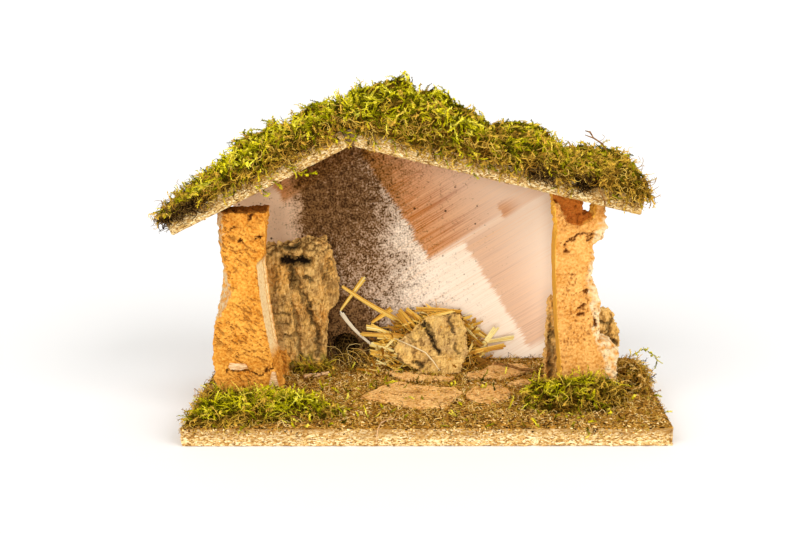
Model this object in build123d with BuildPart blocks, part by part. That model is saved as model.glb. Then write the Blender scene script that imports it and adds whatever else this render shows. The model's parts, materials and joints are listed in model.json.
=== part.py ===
from build123d import *
from math import cos, radians, sin, tan
import os

# A nativity stable: chipboard base and roof, plywood back, cork bark posts and slabs, moss and straw.
# The origin is the middle of the base's underside. X runs to the right, Y to the back, Z up.
# Lengths are millimetres and angles are degrees.

# Boards
board_thickness = 12.0
panel_thickness = 4.0

# Plan, from left to right and from front to back
left_margin = 11.0
left_post_width = 48.0
hall_width = 193.0
right_post_width = 51.0
right_margin = 27.0
yard_depth = 60.0
post_depth = 26.0
hall_depth = 64.0

# Roof
ridge_height = 183.0
ridge_offset = 56.7
ridge_gap = 3.0
left_pitch = 26.0
right_pitch = 14.0
left_overhang = 20.7
right_overhang = 8.8
roof_front_overhang = 10.0
glue_setback = 6.0

# Back panel and the hole for a small lamp
panel_left_inset = 25.0
panel_right_inset = 29.0
panel_drop = 2.0
panel_foot_gap = 1.0
lamp_hole_radius = 10.5
lamp_hole_inset = 85.3
lamp_hole_sill = 1.5

# Ground coat of glued earth, and the room left in it round each foot
scatter_thickness = 1.2
scatter_margin = 0.8
foot_clearance = 0.4

# Brads and nails
brad_radius = 0.7
brad_head_radius = 1.4
brad_head_thickness = 0.8
brad_length = 18.0
nail_length = 32.0
brad_edge_distance = 14.0
base_brad_count = 5
left_roof_brad_count = 3
right_roof_brad_count = 4
foot_nail_spacing = 18.0

# Cork posts
left_seat_width = 5.0
notch_depth = 12.0
prong_width = 6.0
right_wall_width = 23.0

# Bark slabs that stand at the sides
left_bark_length = 60.0
left_bark_height = 105.0
left_bark_thickness = 9.0
left_bark_bow = 3.0
left_bark_tuck = 22.0
left_bark_front_gap = 22.0
left_bark_back_gap = 9.0
right_bark_reach = 3.5
right_bark_height = 68.0
right_bark_thickness = 8.0
right_bark_bow = 2.0
right_bark_tuck = 0.5

# Offcuts at the left post
chunk_width = 12.0
chunk_depth = 10.0
chunk_height = 18.0
chunk_reach = 1.5
chip_width = 7.0
chip_thickness = 3.0
chip_height = 20.0
flake_width = 14.0
flake_height = 5.5
flake_thickness = 1.5
flake_rise = 22.0
flake_inset = 12.0
part_clearance = 0.4

# Manger bark and straw
manger_inset = 81.6
manger_width = 55.0
manger_height = 46.0
manger_thickness = 7.0
manger_lean = 17.0
manger_gap = 39.0
straw_clearance = 0.3
straw_reach = 66.0
stalk_width = 3.2
stalk_thickness = 1.4

# Cork slabs of the path
slab_thickness = 2.0
path_left_gap = 58.0
path_right_gap = 4.0
path_reach = 27.0
path_rear_gap = 15.0

# Loose sticks
stick_radius = 1.5
stick_length = 20.0
stick_inset = 13.0
stick_gap = 49.0
stick_turn = 24.0
twig_radius = 1.0
twig_bend_radius = 5.0

# Moss
roof_moss_front_overhang = 3.0
roof_moss_rear_overhang = 4.0
roof_moss_left_overhang = 7.0
roof_moss_right_overhang = 3.0
roof_moss_seam_gap = 0.7
roof_moss_wave = 4.0
roof_moss_edge_wave = 2.0
roof_moss_wave_length = 110.0
front_left_moss_height = 13.0
front_right_moss_height = 18.0
rear_right_moss_height = 17.0
inner_moss_height = 9.0
moss_edge_margin = 2.0
moss_post_gap = 5.5
moss_path_gap = 10.0
front_right_moss_lap = 22.0
front_right_moss_reach = 35.0
rear_right_moss_setback = 4.0
rear_right_moss_reach = 20.0
inner_moss_width = 36.0
inner_moss_depth = 8.0

# Places that follow from the sizes above
base_width = left_margin + left_post_width + hall_width + right_post_width + right_margin
base_depth = yard_depth + post_depth + hall_depth
base_left = -base_width / 2
base_right = base_width / 2
base_front = -base_depth / 2
base_top = board_thickness
ground = base_top + scatter_thickness
left_post_outer = base_left + left_margin
hall_left = left_post_outer + left_post_width
hall_right = hall_left + hall_width
right_post_outer = hall_right + right_post_width
post_front = base_front + yard_depth
post_rear = post_front + post_depth
panel_front = base_depth / 2
panel_rear = panel_front + panel_thickness
roof_front = post_front - roof_front_overhang
ridge_x = hall_left + ridge_offset
ridge_z = base_top + ridge_height
left_eave = left_post_outer - left_overhang
right_eave = right_post_outer + right_overhang
panel_left = left_eave + panel_left_inset
panel_right = right_eave - panel_right_inset
lamp_hole_x = panel_left + lamp_hole_inset
lamp_hole_z = base_top + lamp_hole_sill + lamp_hole_radius
manger_left = hall_left + manger_inset
manger_foot = panel_front - manger_gap
path_left = hall_left + path_left_gap
path_right = hall_right - path_right_gap
path_front = post_front - path_reach
path_rear = panel_front - path_rear_gap
slab_top = ground + slab_thickness
straw_right = manger_left + straw_reach

os.makedirs("parts", exist_ok=True)


def save(builder, name):
    """Label a finished piece and write it to its own file."""
    builder.part.label = name
    export_step(builder.part, f"parts/{name}.step")


def upright(y):
    """Plane that faces the front at depth y, with local axes along X and Z."""
    return Plane(origin=(0, y, 0), x_dir=(1, 0, 0), z_dir=(0, -1, 0))


def spread(start, end, count):
    """Evenly spaced values from start to end."""
    return [start + (end - start) * index / (count - 1) for index in range(count)]


def fit(points, start, end):
    """Turn shares of a rectangle into places, from its start corner to its end corner."""
    return [(start[0] + u * (end[0] - start[0]), start[1] + v * (end[1] - start[1])) for u, v in points]


# Roof lines


def underside(x):
    """Height of the roof's underside at a place across the stable."""
    if x < ridge_x:
        return ridge_z - max(0, ridge_x - ridge_gap / 2 - x) * tan(radians(left_pitch))
    return ridge_z - max(0, x - ridge_x - ridge_gap / 2) * tan(radians(right_pitch))


def board_outline(side, pitch, eave):
    """Corners of a square-sawn roof board: low ridge, low eave, high eave, high ridge. Left is side -1."""
    low_ridge = (ridge_x + side * ridge_gap / 2, ridge_z)
    low_eave = (eave, underside(eave))
    rise = (side * board_thickness * sin(radians(pitch)), board_thickness * cos(radians(pitch)))
    high_eave = (low_eave[0] + rise[0], low_eave[1] + rise[1])
    high_ridge = (low_ridge[0] + rise[0], low_ridge[1] + rise[1])
    return [low_ridge, low_eave, high_eave, high_ridge]


left_board = board_outline(-1, left_pitch, left_eave)
right_board = board_outline(1, right_pitch, right_eave)
left_normal = (-sin(radians(left_pitch)), 0, cos(radians(left_pitch)))
right_normal = (sin(radians(right_pitch)), 0, cos(radians(right_pitch)))

# Post shapes, as (share of height, share of width on the front face, share of width on the back face)
left_post_left_edge = [(0, 0.07, 0.04), (0.19, 0.03, 0), (0.31, 0.02, 0), (0.42, 0.1, 0.02),
                       (0.56, 0.35, 0.1), (0.68, 0.29, 0.15), (0.78, 0.23, 0.12), (1, 0.26, 0.08)]
left_post_right_edge = [(1, 0.92, 0.87), (0.78, 0.86, 0.8), (0.73, 0.75, 0.81), (0.56, 0.78, 0.84),
                        (0.42, 0.83, 0.88), (0.31, 0.88, 0.92), (0.19, 0.94, 0.96), (0, 1, 1)]
right_post_left_edge = [(0, 0.2, 0.19), (0.15, 0.18, 0.17), (0.39, 0.11, 0.11), (0.51, 0.09, 0.09),
                        (0.76, 0.06, 0.06), (0.86, 0.08, 0.08), (1.1, 0.01, 0.01)]
right_post_right_edge = [(1.1, 0.72, 0.74), (0.89, 0.74, 0.76), (0.82, 0.7, 0.74), (0.8, 0.57, 0.6),
                         (0.68, 0.58, 0.6), (0.63, 0.56, 0.59), (0.52, 0.69, 0.68), (0.36, 0.7, 0.7),
                         (0.3, 0.67, 0.7), (0.28, 0.9, 0.84), (0.25, 0.98, 0.92), (0.19, 0.95, 0.95),
                         (0, 0.96, 1)]
left_seat_share = left_post_left_edge[-1][2]
left_seat_x = left_post_outer + left_seat_share * left_post_width + left_seat_width
left_post_height = underside(left_seat_x) - base_top
prong_x = hall_right + right_post_right_edge[0][1] * right_post_width - prong_width / 2
right_post_height = underside(prong_x) - base_top
right_wall_edge = hall_right + right_wall_width
right_wall_x = hall_right + right_wall_width / 2


def post_face(edges, column, start, width, height):
    """Outline of one face of a post, from its left edge and its right edge."""
    return [(start + row[column] * width, base_top + row[0] * height) for row in edges]


def foot_box(edges, start, width):
    """Left and right limits of a post's foot."""
    shares = [value for row in edges if row[0] == 0 for value in row[1:]]
    return start + min(shares) * width, start + max(shares) * width


left_post_edges = left_post_left_edge + left_post_right_edge
right_post_edges = right_post_left_edge + right_post_right_edge
left_foot = foot_box(left_post_edges, left_post_outer, left_post_width)
right_foot = foot_box(right_post_edges, hall_right, right_post_width)
post_middle = (post_front + post_rear) / 2

# Places of brads and nails, as (middle of the head, direction of driving)
to_front = (0, -1, 0)
upward = (0, 0, 1)
half_board_left = board_thickness / 2 / cos(radians(left_pitch))
half_board_right = board_thickness / 2 / cos(radians(right_pitch))
base_brads = [((x, panel_rear, board_thickness / 2), to_front)
              for x in spread(panel_left + brad_edge_distance, panel_right - brad_edge_distance, base_brad_count)]
left_roof_brads = [((x, panel_rear, underside(x) + half_board_left), to_front)
                   for x in spread(panel_left + brad_edge_distance, ridge_x - brad_edge_distance,
                                   left_roof_brad_count)]
right_roof_brads = [((x, panel_rear, underside(x) + half_board_right), to_front)
                    for x in spread(ridge_x + brad_edge_distance, panel_right - brad_edge_distance,
                                    right_roof_brad_count)]
left_foot_nails = [((sum(left_foot) / 2 + side * foot_nail_spacing / 2, post_middle, 0), upward)
                   for side in (-1, 1)]
right_foot_nails = [((sum(right_foot) / 2 + side * foot_nail_spacing / 2, post_middle, 0), upward)
                    for side in (-1, 1)]


def roof_nail(x, y, normal):
    """Nail driven square through a roof board into the post whose seat is at x."""
    seat_z = underside(x)
    head = (x + board_thickness * normal[0], y, seat_z + board_thickness * normal[2])
    return head, (-normal[0], 0, -normal[2])


left_roof_nails = [roof_nail(left_seat_x - left_seat_width / 2, post_middle, left_normal)]
right_roof_nails = [roof_nail(right_wall_x, (post_front + notch_depth + post_rear) / 2, right_normal)]


def drive(places, length, mode=Mode.ADD):
    """Make brads, or the holes that they fill, in the piece being built."""
    for head, direction in places:
        with BuildSketch(Plane(origin=head, z_dir=direction)) as shank:
            Circle(brad_radius)
        extrude(shank.sketch, amount=length, mode=mode)
        with BuildSketch(Plane(origin=head, z_dir=direction)) as cap:
            Circle(brad_head_radius)
        extrude(cap.sketch, amount=brad_head_thickness, mode=mode)


# Base board
with BuildPart() as base_board:
    with BuildSketch():
        Rectangle(base_width, base_depth)
    extrude(amount=board_thickness)
    drive(base_brads, brad_length, Mode.SUBTRACT)
    drive(left_foot_nails + right_foot_nails, nail_length, Mode.SUBTRACT)
save(base_board, "base_board")

# Back panel, nailed to the rear edges of the base and the roof boards
panel_lap = board_thickness - panel_drop
panel_outline = [
    (panel_left, panel_foot_gap),
    (panel_right, panel_foot_gap),
    (panel_right, underside(panel_right) + panel_lap),
    (ridge_x, ridge_z + panel_lap),
    (panel_left, underside(panel_left) + panel_lap),
]
with BuildPart() as back_panel:
    with BuildSketch(upright(panel_rear)):
        with BuildLine():
            Polyline(*panel_outline, close=True)
        make_face()
        with Locations((lamp_hole_x, lamp_hole_z)):
            Circle(lamp_hole_radius, mode=Mode.SUBTRACT)
    extrude(amount=panel_thickness)
    drive(base_brads + left_roof_brads + right_roof_brads, brad_length, Mode.SUBTRACT)
save(back_panel, "back_panel")


def roof_board(outline, brads, nails):
    """One sawn roof board with the holes of its brads and nails."""
    with BuildPart() as board:
        with BuildSketch(upright(panel_front)):
            with BuildLine():
                Polyline(*outline, close=True)
            make_face()
        extrude(amount=panel_front - roof_front)
        drive(brads, brad_length, Mode.SUBTRACT)
        drive(nails, nail_length, Mode.SUBTRACT)
    return board


save(roof_board(left_board, left_roof_brads, left_roof_nails), "roof_board_left")
save(roof_board(right_board, right_roof_brads, right_roof_nails), "roof_board_right")

# Bead of glue in the groove between the two boards
with BuildPart() as ridge_glue:
    with BuildSketch(upright(panel_front)):
        with BuildLine():
            Polyline(left_board[0], right_board[0], right_board[3], left_board[3], close=True)
        make_face()
    extrude(amount=panel_front - roof_front - glue_setback)
save(ridge_glue, "ridge_glue")


above_roof = [(left_eave, underside(left_eave)), (ridge_x - ridge_gap / 2, ridge_z),
              (ridge_x + ridge_gap / 2, ridge_z), (right_eave, underside(right_eave)),
              (right_eave, 2 * ridge_z), (left_eave, 2 * ridge_z)]

# The right post is hollow at its top: the front wall is broken away, and light shows through on the right.
# The notch is given as shares of the post's width and height.
notch_shares = [(-0.1, 1.3), (-0.1, 1.01), (0.1, 1.01), (0.13, 0.98), (0.22, 0.9), (0.4, 0.892),
                (0.58, 0.93), (0.61, 0.98), (0.61, 1.3)]
notch = fit(notch_shares, (hall_right, base_top), (right_post_outer, base_top + right_post_height))
notch_floor = notch[-3]
notch_top = notch[-1]
window = [(right_wall_edge, notch_floor[1]), notch_floor, notch_top, (right_wall_edge, notch_top[1])]


def cork_post(edges, start, width, height, foot_nails, top_nails, cuts):
    """A cork post: front and back outlines joined, then cut. Cuts are outlines with their depth from the front."""
    with BuildPart() as post:
        for column, y in ((1, post_front), (2, post_rear)):
            with BuildSketch(upright(y)):
                with BuildLine():
                    Polyline(*post_face(edges, column, start, width, height), close=True)
                make_face()
        loft(ruled=True)
        for outline, depth in cuts:
            with BuildSketch(upright(post_front + depth)):
                with BuildLine():
                    Polyline(*outline, close=True)
                make_face()
            extrude(amount=depth, mode=Mode.SUBTRACT)
        drive(foot_nails, nail_length, Mode.SUBTRACT)
        drive(top_nails, nail_length, Mode.SUBTRACT)
    return post


save(cork_post(left_post_edges, left_post_outer, left_post_width, left_post_height, left_foot_nails,
               left_roof_nails, [(above_roof, post_depth)]), "left_post")
save(cork_post(right_post_edges, hall_right, right_post_width, right_post_height, right_foot_nails,
               right_roof_nails, [(above_roof, post_depth), (notch, notch_depth), (window, post_depth)]),
     "right_post")

# Side bark shapes, as shares of their length and height
left_bark_outline = [(0, 0), (0, 0.91), (0.1, 0.95), (0.67, 1), (0.87, 0.985), (0.94, 0.83), (1, 0.65),
                     (0.985, 0.5), (0.85, 0.43), (0.81, 0.15), (0.78, 0)]
right_bark_outline = [(0, 0), (0, 0.4), (0.05, 0.98), (0.33, 1), (0.65, 0.87), (0.9, 0.82), (0.93, 0.69),
                      (1, 0.6), (1, 0.44), (0.93, 0.35), (0.96, 0)]
left_bark_x = hall_left - left_bark_tuck
left_bark_line = [(left_bark_x, panel_front - left_bark_front_gap),
                  (left_bark_x + left_bark_length, panel_front - left_bark_back_gap)]
right_bark_x = hall_right + right_bark_tuck
right_bark_rear = post_rear + part_clearance + right_bark_bow + right_bark_thickness
right_bark_line = [(right_bark_x, right_bark_rear), (right_post_outer + right_bark_reach, right_bark_rear)]


def bark_plan(line, thickness, bow):
    """Edges of a curved band on the ground: its rear follows the line, and it bows towards the front."""
    (x0, y0), (x1, y1) = line
    middle = ((x0 + x1) / 2, (y0 + y1) / 2 - bow)
    with BuildLine() as plan:
        ThreePointArc((x0, y0), middle, (x1, y1))
        Line((x1, y1), (x1, y1 - thickness))
        ThreePointArc((x1, y1 - thickness), (middle[0], middle[1] - thickness), (x0, y0 - thickness))
        Line((x0, y0 - thickness), (x0, y0))
    return plan.edges()


def side_bark(line, outline, thickness, height, bow):
    """A standing slab of bark with a torn outline."""
    start = (line[0][0], base_top)
    end = (line[1][0], base_top + height)
    with BuildPart() as bark:
        with BuildSketch(Plane.XY.offset(base_top)):
            make_face(bark_plan(line, thickness, bow))
        extrude(amount=height)
        with BuildSketch(upright(panel_front)):
            with BuildLine():
                Polyline(*fit(outline, start, end), close=True)
            make_face()
        extrude(amount=base_depth, mode=Mode.INTERSECT)
    return bark


save(side_bark(left_bark_line, left_bark_outline, left_bark_thickness, left_bark_height, left_bark_bow),
     "left_side_bark")
save(side_bark(right_bark_line, right_bark_outline, right_bark_thickness, right_bark_height, right_bark_bow),
     "right_side_bark")

# Ground coat, open round the feet of the posts and side barks
with BuildPart() as ground_scatter:
    with BuildSketch(Plane.XY.offset(base_top)):
        with Locations((0, scatter_margin / 2)):
            Rectangle(base_width - 2 * scatter_margin, base_depth - scatter_margin)
    extrude(amount=scatter_thickness)
    for low, high in (left_foot, right_foot):
        with BuildSketch(Plane.XY.offset(base_top)):
            with Locations(((low + high) / 2, post_middle)):
                Rectangle(high - low + 2 * foot_clearance, post_depth + 2 * foot_clearance)
        extrude(amount=scatter_thickness, mode=Mode.SUBTRACT)
    for bark_line, bark_thickness, bow in ((left_bark_line, left_bark_thickness, left_bark_bow),
                                           (right_bark_line, right_bark_thickness, right_bark_bow)):
        with BuildSketch(Plane.XY.offset(base_top)):
            make_face(bark_plan(bark_line, bark_thickness, bow))
            offset(amount=foot_clearance)
        extrude(amount=scatter_thickness, mode=Mode.SUBTRACT)
save(ground_scatter, "ground_scatter")

# Offcuts round the left post, with a cork chunk at the foot of the bark behind it
chunk_outline = [(0, 0.1), (0.3, 0), (0.9, 0.15), (1, 0.7), (0.6, 1), (0.1, 0.85)]
chunk_end = (hall_left + chunk_reach, panel_front - left_bark_front_gap - left_bark_thickness - part_clearance)
chunk_start = (chunk_end[0] - chunk_width, chunk_end[1] - chunk_depth)
chunk_top = [(0.1, 0.25), (0.35, 0.15), (0.75, 0.3), (0.8, 0.6), (0.5, 0.85), (0.2, 0.75)]
with BuildPart() as left_foot_chunk:
    for shape, z in ((chunk_outline, ground), (chunk_top, ground + chunk_height)):
        with BuildSketch(Plane.XY.offset(z)):
            with BuildLine():
                Polyline(*fit(shape, chunk_start, chunk_end), close=True)
            make_face()
    loft(ruled=True)
save(left_foot_chunk, "left_foot_chunk")

chip_outline = [(0.15, 0), (0, 0.5), (0.35, 1), (0.7, 0.95), (1, 0.4), (0.9, 0)]
chip_start = (hall_left - chip_width, ground)
chip_end = (hall_left, ground + chip_height)
with BuildPart() as left_foot_chip:
    with BuildSketch(upright(post_front)):
        with BuildLine():
            Polyline(*fit(chip_outline, chip_start, chip_end), close=True)
        make_face()
    extrude(amount=chip_thickness)
save(left_foot_chip, "left_foot_chip")

flake_outline = [(0, 0.5), (0.1, 1), (0.9, 0.85), (1, 0.3), (0.6, 0), (0.1, 0.1)]
flake_start = (left_post_outer + flake_inset, base_top + flake_rise)
flake_end = (flake_start[0] + flake_width, flake_start[1] + flake_height)
with BuildPart() as left_post_flake:
    with BuildSketch(upright(post_front)):
        with BuildLine():
            Polyline(*fit(flake_outline, flake_start, flake_end), close=True)
        make_face()
    extrude(amount=flake_thickness)
save(left_post_flake, "left_post_flake")

# Manger bark, a torn slab that leans back over the straw
manger_outline = [(0, 0.35), (0.04, 0.53), (0.21, 0.67), (0.41, 0.91), (0.52, 0.945), (0.67, 0.95), (0.9, 1),
                  (0.975, 0.76), (1, 0.35), (0.93, 0.16), (0.88, -0.1), (0.44, -0.1), (0.32, 0.08),
                  (0.09, 0.215)]
manger_normal = (0, -cos(radians(manger_lean)), sin(radians(manger_lean)))
manger_plane = Plane(origin=(manger_left, manger_foot, ground), x_dir=(1, 0, 0), z_dir=manger_normal)
with BuildPart() as manger_bark:
    with BuildSketch(manger_plane):
        with BuildLine():
            Polyline(*fit(manger_outline, (0, 0), (manger_width, manger_height)), close=True)
        make_face()
    extrude(amount=-manger_thickness)
    split(bisect_by=Plane.XY.offset(ground), keep=Keep.TOP)
save(manger_bark, "manger_bark")

# Straw: a heap between the manger bark and the back panel, and the stalks that stand out of it.
# Places are measured from the manger's left edge, forward from the back panel and up from the ground.
heap_outline = [(-18, 0), (-16, 14), (-6, 24), (2, 29), (12, 38), (24, 43), (46, 42), (56, 34), (62, 22),
                (straw_reach, 12), (straw_reach, 0)]
stalk_lines = [
    [(-23.5, 6, 68.6), (-43.7, 7, 41.3), (-25.9, 9, 19.7), (-8, 11, 5)],
    [(-43, 11, 63.6), (15, 14, 27.7)],
    [(4, 15, 43), (46.6, 15, 41.5)],
    [(2, 19, 43), (13, 19, 28)],
    [(79, 19, 32), (60, 19, 4.5)],
    [(85.5, 24, 17.5), (54, 24, 11)],
    [(92.7, 12, 20.5), (58, 13, 15)],
    [(71, 9, 20), (50, 9, 37)],
    [(-20.6, 15, 32), (3, 18, 21)],
    [(-27.6, 19, 26), (8, 22, 24.8)],
    [(-20, 24, 13), (2, 26, 10)],
]


def straw_place(point):
    """Place of a straw point in the stable."""
    return Vector(manger_left + point[0], panel_front - point[1], ground + point[2])


def lay_stalks(mode=Mode.ADD):
    """Make the flattened stalks, or the room that they take, in the piece being built."""
    for line in stalk_lines:
        for first, second in zip(line, line[1:]):
            start = straw_place(first)
            along = straw_place(second) - start
            across = along.cross(Vector(0, 1, 0))
            with BuildSketch(Plane(origin=start, x_dir=across, z_dir=along)) as section:
                Rectangle(stalk_width, stalk_thickness)
            extrude(section.sketch, amount=along.length, mode=mode)


heap_points = [(manger_left + x, ground + z) for x, z in heap_outline]
with BuildPart() as straw_heap:
    with BuildSketch(upright(panel_front - straw_clearance)):
        with BuildLine():
            Polyline(*heap_points, close=True)
        make_face()
    extrude(amount=hall_depth)
    split(bisect_by=manger_plane.offset(-manger_thickness - straw_clearance), keep=Keep.BOTTOM)
    lay_stalks(Mode.SUBTRACT)
save(straw_heap, "straw_heap")

with BuildPart() as straw_stalks:
    lay_stalks()
save(straw_stalks, "straw_stalks")

# Cork slabs of the path. Each outline is in shares of the whole path, or of the strip beside the straw.
path_area = ((path_left, path_front), (path_right, path_rear))
straw_area = ((manger_left, path_front), (straw_right, path_rear))
path_slabs = [
    (path_area, [(0, 0.23), (0.12, 0.455), (0.21, 0.55), (0.33, 0.455), (0.525, 0.41), (0.555, 0.325),
                 (0.48, 0.045), (0.33, 0.01), (0.145, 0.125)]),
    (path_area, [(0.58, 0.265), (0.64, 0.45), (0.78, 0.47), (0.825, 0.365), (0.81, 0.2), (0.71, 0.1),
                 (0.6, 0.165)]),
    (straw_area, [(-0.12, 0.77), (0, 0.8), (0.3, 0.7), (0.69, 0.65), (0.63, 0.585), (0.16, 0.585)]),
    (straw_area, [(0.81, 0.69), (0.83, 0.74), (1.03, 0.82), (1.13, 0.96), (1.51, 0.94), (1.61, 0.79),
                  (1.2, 0.63), (0.82, 0.63)]),
    (path_area, [(0.825, 0.5), (0.9, 0.59), (0.97, 0.57), (0.985, 0.46)]),
]
for number, (area, shares) in enumerate(path_slabs, start=1):
    with BuildPart() as path_slab:
        with BuildSketch(Plane.XY.offset(ground)):
            with BuildLine():
                Polyline(*fit(shares, *area), close=True)
            make_face()
        extrude(amount=slab_thickness)
    save(path_slab, f"path_slab_{number}")

# A dry twig on the rear slab and a stick on the ground
twig_line = fit([(1.16, 0.92), (1.31, 0.88), (1.45, 0.78), (1.65, 0.75)], *straw_area)
with BuildPart() as dry_twig:
    with BuildLine() as twig_path:
        FilletPolyline(*[(x, y, slab_top + twig_radius) for x, y in twig_line], radius=twig_bend_radius)
    with BuildSketch(Plane(origin=twig_path.line @ 0, z_dir=twig_path.line % 0)):
        Circle(twig_radius)
    sweep()
save(dry_twig, "dry_twig")

stick_start = (hall_left + stick_inset, panel_front - stick_gap, ground + stick_radius)
stick_direction = (cos(radians(stick_turn)), sin(radians(stick_turn)), 0)
with BuildPart() as ground_stick:
    with BuildSketch(Plane(origin=stick_start, z_dir=stick_direction)):
        Circle(stick_radius)
    extrude(amount=stick_length)
save(ground_stick, "ground_stick")

# Moss: every cushion rises through these levels, as (share of spread, share of height)
moss_levels = [(1, 0), (1, 0.35), (0.86, 0.75), (0.5, 1)]


def centre_of(points):
    """Mean place of an outline's points."""
    return sum(x for x, _ in points) / len(points), sum(y for _, y in points) / len(points)


def moss_cushion(points, plane_at, height):
    """A mossy lump over an outline, rising from a plane that is given for each height."""
    middle = centre_of(points)
    with BuildPart() as cushion:
        for share, level in moss_levels:
            plane = plane_at(middle, level * height)
            with BuildSketch(plane):
                with BuildLine():
                    corners = [(middle[0] + share * (x - middle[0]), middle[1] + share * (y - middle[1]))
                               for x, y in points]
                    scale = 1 / plane.x_dir.X
                    Polyline(*[((x - middle[0]) * scale, y - middle[1]) for x, y in corners], close=True)
                make_face()
        loft(ruled=True)
    return cushion


def ground_plane(middle, height):
    """Level plane at a height above the ground coat."""
    return Plane(origin=(middle[0], middle[1], ground + height))


def slope_plane(corner, normal):
    """Maker of planes that lie parallel to a roof board's top, straight above it."""
    def plane_at(middle, height):
        fall = (middle[0] - corner[0]) * normal[0] / normal[2]
        return Plane(origin=(middle[0], middle[1], corner[1] - fall + height),
                     x_dir=(normal[2], 0, -normal[0]), z_dir=normal)
    return plane_at


def seam(nominal, place, number, is_edge):
    """Wavy line between two cushions, with a smaller wave at the outer edge of the moss."""
    wave = roof_moss_edge_wave if is_edge else roof_moss_wave
    return nominal + wave * sin(radians(360) * place / roof_moss_wave_length + number)


def roof_cell(columns, rows, column, row):
    """Outline of one roof cushion, with a point at each corner and in the middle of each side."""
    def across(number, y):
        return seam(columns[number], y, number, number in (0, len(columns) - 1))

    def along(number, x):
        return seam(rows[number], x, number, number in (0, len(rows) - 1))

    x0, x1 = columns[column], columns[column + 1]
    y0, y1 = rows[row], rows[row + 1]
    x_mid = (x0 + x1) / 2
    y_mid = (y0 + y1) / 2
    points = [(across(column, y0), along(row, x0)), (x_mid, along(row, x_mid)),
              (across(column + 1, y0), along(row, x1)), (across(column + 1, y_mid), y_mid),
              (across(column + 1, y1), along(row + 1, x1)), (x_mid, along(row + 1, x_mid)),
              (across(column, y1), along(row + 1, x0)), (across(column, y_mid), y_mid)]
    middle = centre_of(points)
    shrink = 1 - roof_moss_seam_gap / min(abs(x1 - x0), abs(y1 - y0))
    return [(middle[0] + shrink * (x - middle[0]), middle[1] + shrink * (y - middle[1])) for x, y in points]


def lay_roof_moss(side, start, end, heights, plane_at):
    """Cushions on one roof board, in two rows from the ridge to the eave. Heights are front row, rear row."""
    columns = spread(start, end, len(heights[0]) + 1)
    rows = spread(roof_front - roof_moss_front_overhang, panel_front + roof_moss_rear_overhang,
                  len(heights) + 1)
    for row, row_name in enumerate(("front", "rear")):
        for column, height in enumerate(heights[row]):
            cell = roof_cell(columns, rows, column, row)
            save(moss_cushion(cell, plane_at, height), f"roof_moss_{side}_{row_name}_{column + 1}")


left_moss_heights = [(20.0, 19.0, 14.0), (25.0, 25.0, 18.0)]
right_moss_heights = [(26.0, 19.0, 18.0, 14.0), (33.0, 24.0, 22.0, 16.0)]
lay_roof_moss("left", left_board[3][0], left_board[2][0] - roof_moss_left_overhang, left_moss_heights,
              slope_plane(left_board[3], left_normal))
lay_roof_moss("right", left_board[3][0], right_board[2][0] + roof_moss_right_overhang, right_moss_heights,
              slope_plane(right_board[3], right_normal))

# Ground tufts, as shares of the patch that each one fills
front_left_tuft = [(0, 0), (0, 0.92), (0.12, 1), (0.55, 1), (0.7, 0.93), (1, 0.48), (0.97, 0.3), (0.6, 0.13),
                   (0.22, 0)]
front_right_tuft = [(0, 0.6), (0.1, 0.95), (0.3, 1), (0.9, 1), (1, 0.75), (0.93, 0.45), (0.72, 0.12), (0.4, 0),
                    (0.12, 0.2)]
rear_right_tuft = [(0, 0.25), (0, 0.7), (0.1, 0.95), (0.5, 1), (1, 0.75), (1, 0.3), (0.7, 0), (0.2, 0.05)]
inner_tuft = [(0, 0.3), (0.05, 0.8), (0.35, 1), (0.8, 0.95), (1, 0.5), (0.75, 0.1), (0.35, 0)]
inner_moss_rear = panel_front - left_bark_front_gap - left_bark_thickness - part_clearance
tufts = {
    "ground_moss_front_left": (front_left_tuft, front_left_moss_height,
                               (base_left + moss_edge_margin, base_front + moss_edge_margin),
                               (path_left - moss_path_gap, post_front - moss_post_gap)),
    "ground_moss_front_right": (front_right_tuft, front_right_moss_height,
                                (hall_right - front_right_moss_lap, post_front - front_right_moss_reach),
                                (base_right - front_right_moss_lap, post_front - part_clearance)),
    "ground_moss_rear_right": (rear_right_tuft, rear_right_moss_height,
                               (right_bark_line[1][0] + 2 * part_clearance,
                                post_front + rear_right_moss_setback),
                               (base_right - moss_edge_margin, post_rear + rear_right_moss_reach)),
    "ground_moss_inner": (inner_tuft, inner_moss_height,
                          (hall_left + moss_edge_margin, inner_moss_rear - inner_moss_depth),
                          (hall_left + moss_edge_margin + inner_moss_width, inner_moss_rear)),
}
for name, (outline, height, start, end) in tufts.items():
    save(moss_cushion(fit(outline, start, end), ground_plane, height), name)

# Brads and nails
fasteners = {
    "panel_base_brads": (base_brads, brad_length),
    "panel_roof_brads": (left_roof_brads + right_roof_brads, brad_length),
    "left_post_nails": (left_foot_nails, nail_length),
    "right_post_nails": (right_foot_nails, nail_length),
    "roof_post_nails": (left_roof_nails + right_roof_nails, nail_length),
}
for name, (places, length) in fasteners.items():
    with BuildPart() as group:
        drive(places, length)
    save(group, name)
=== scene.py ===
"""Looks of a nativity stable: chipboard, whitewash, cork, bark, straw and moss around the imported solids.

Sizes are millimetres until a mesh is written, and colours are sRGB hex values.
"""

import json
import logging
import math
import random
from dataclasses import dataclass, field
from enum import Enum

import bmesh
import bpy
import numpy as np
from mathutils import Matrix, Vector, noise

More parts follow.
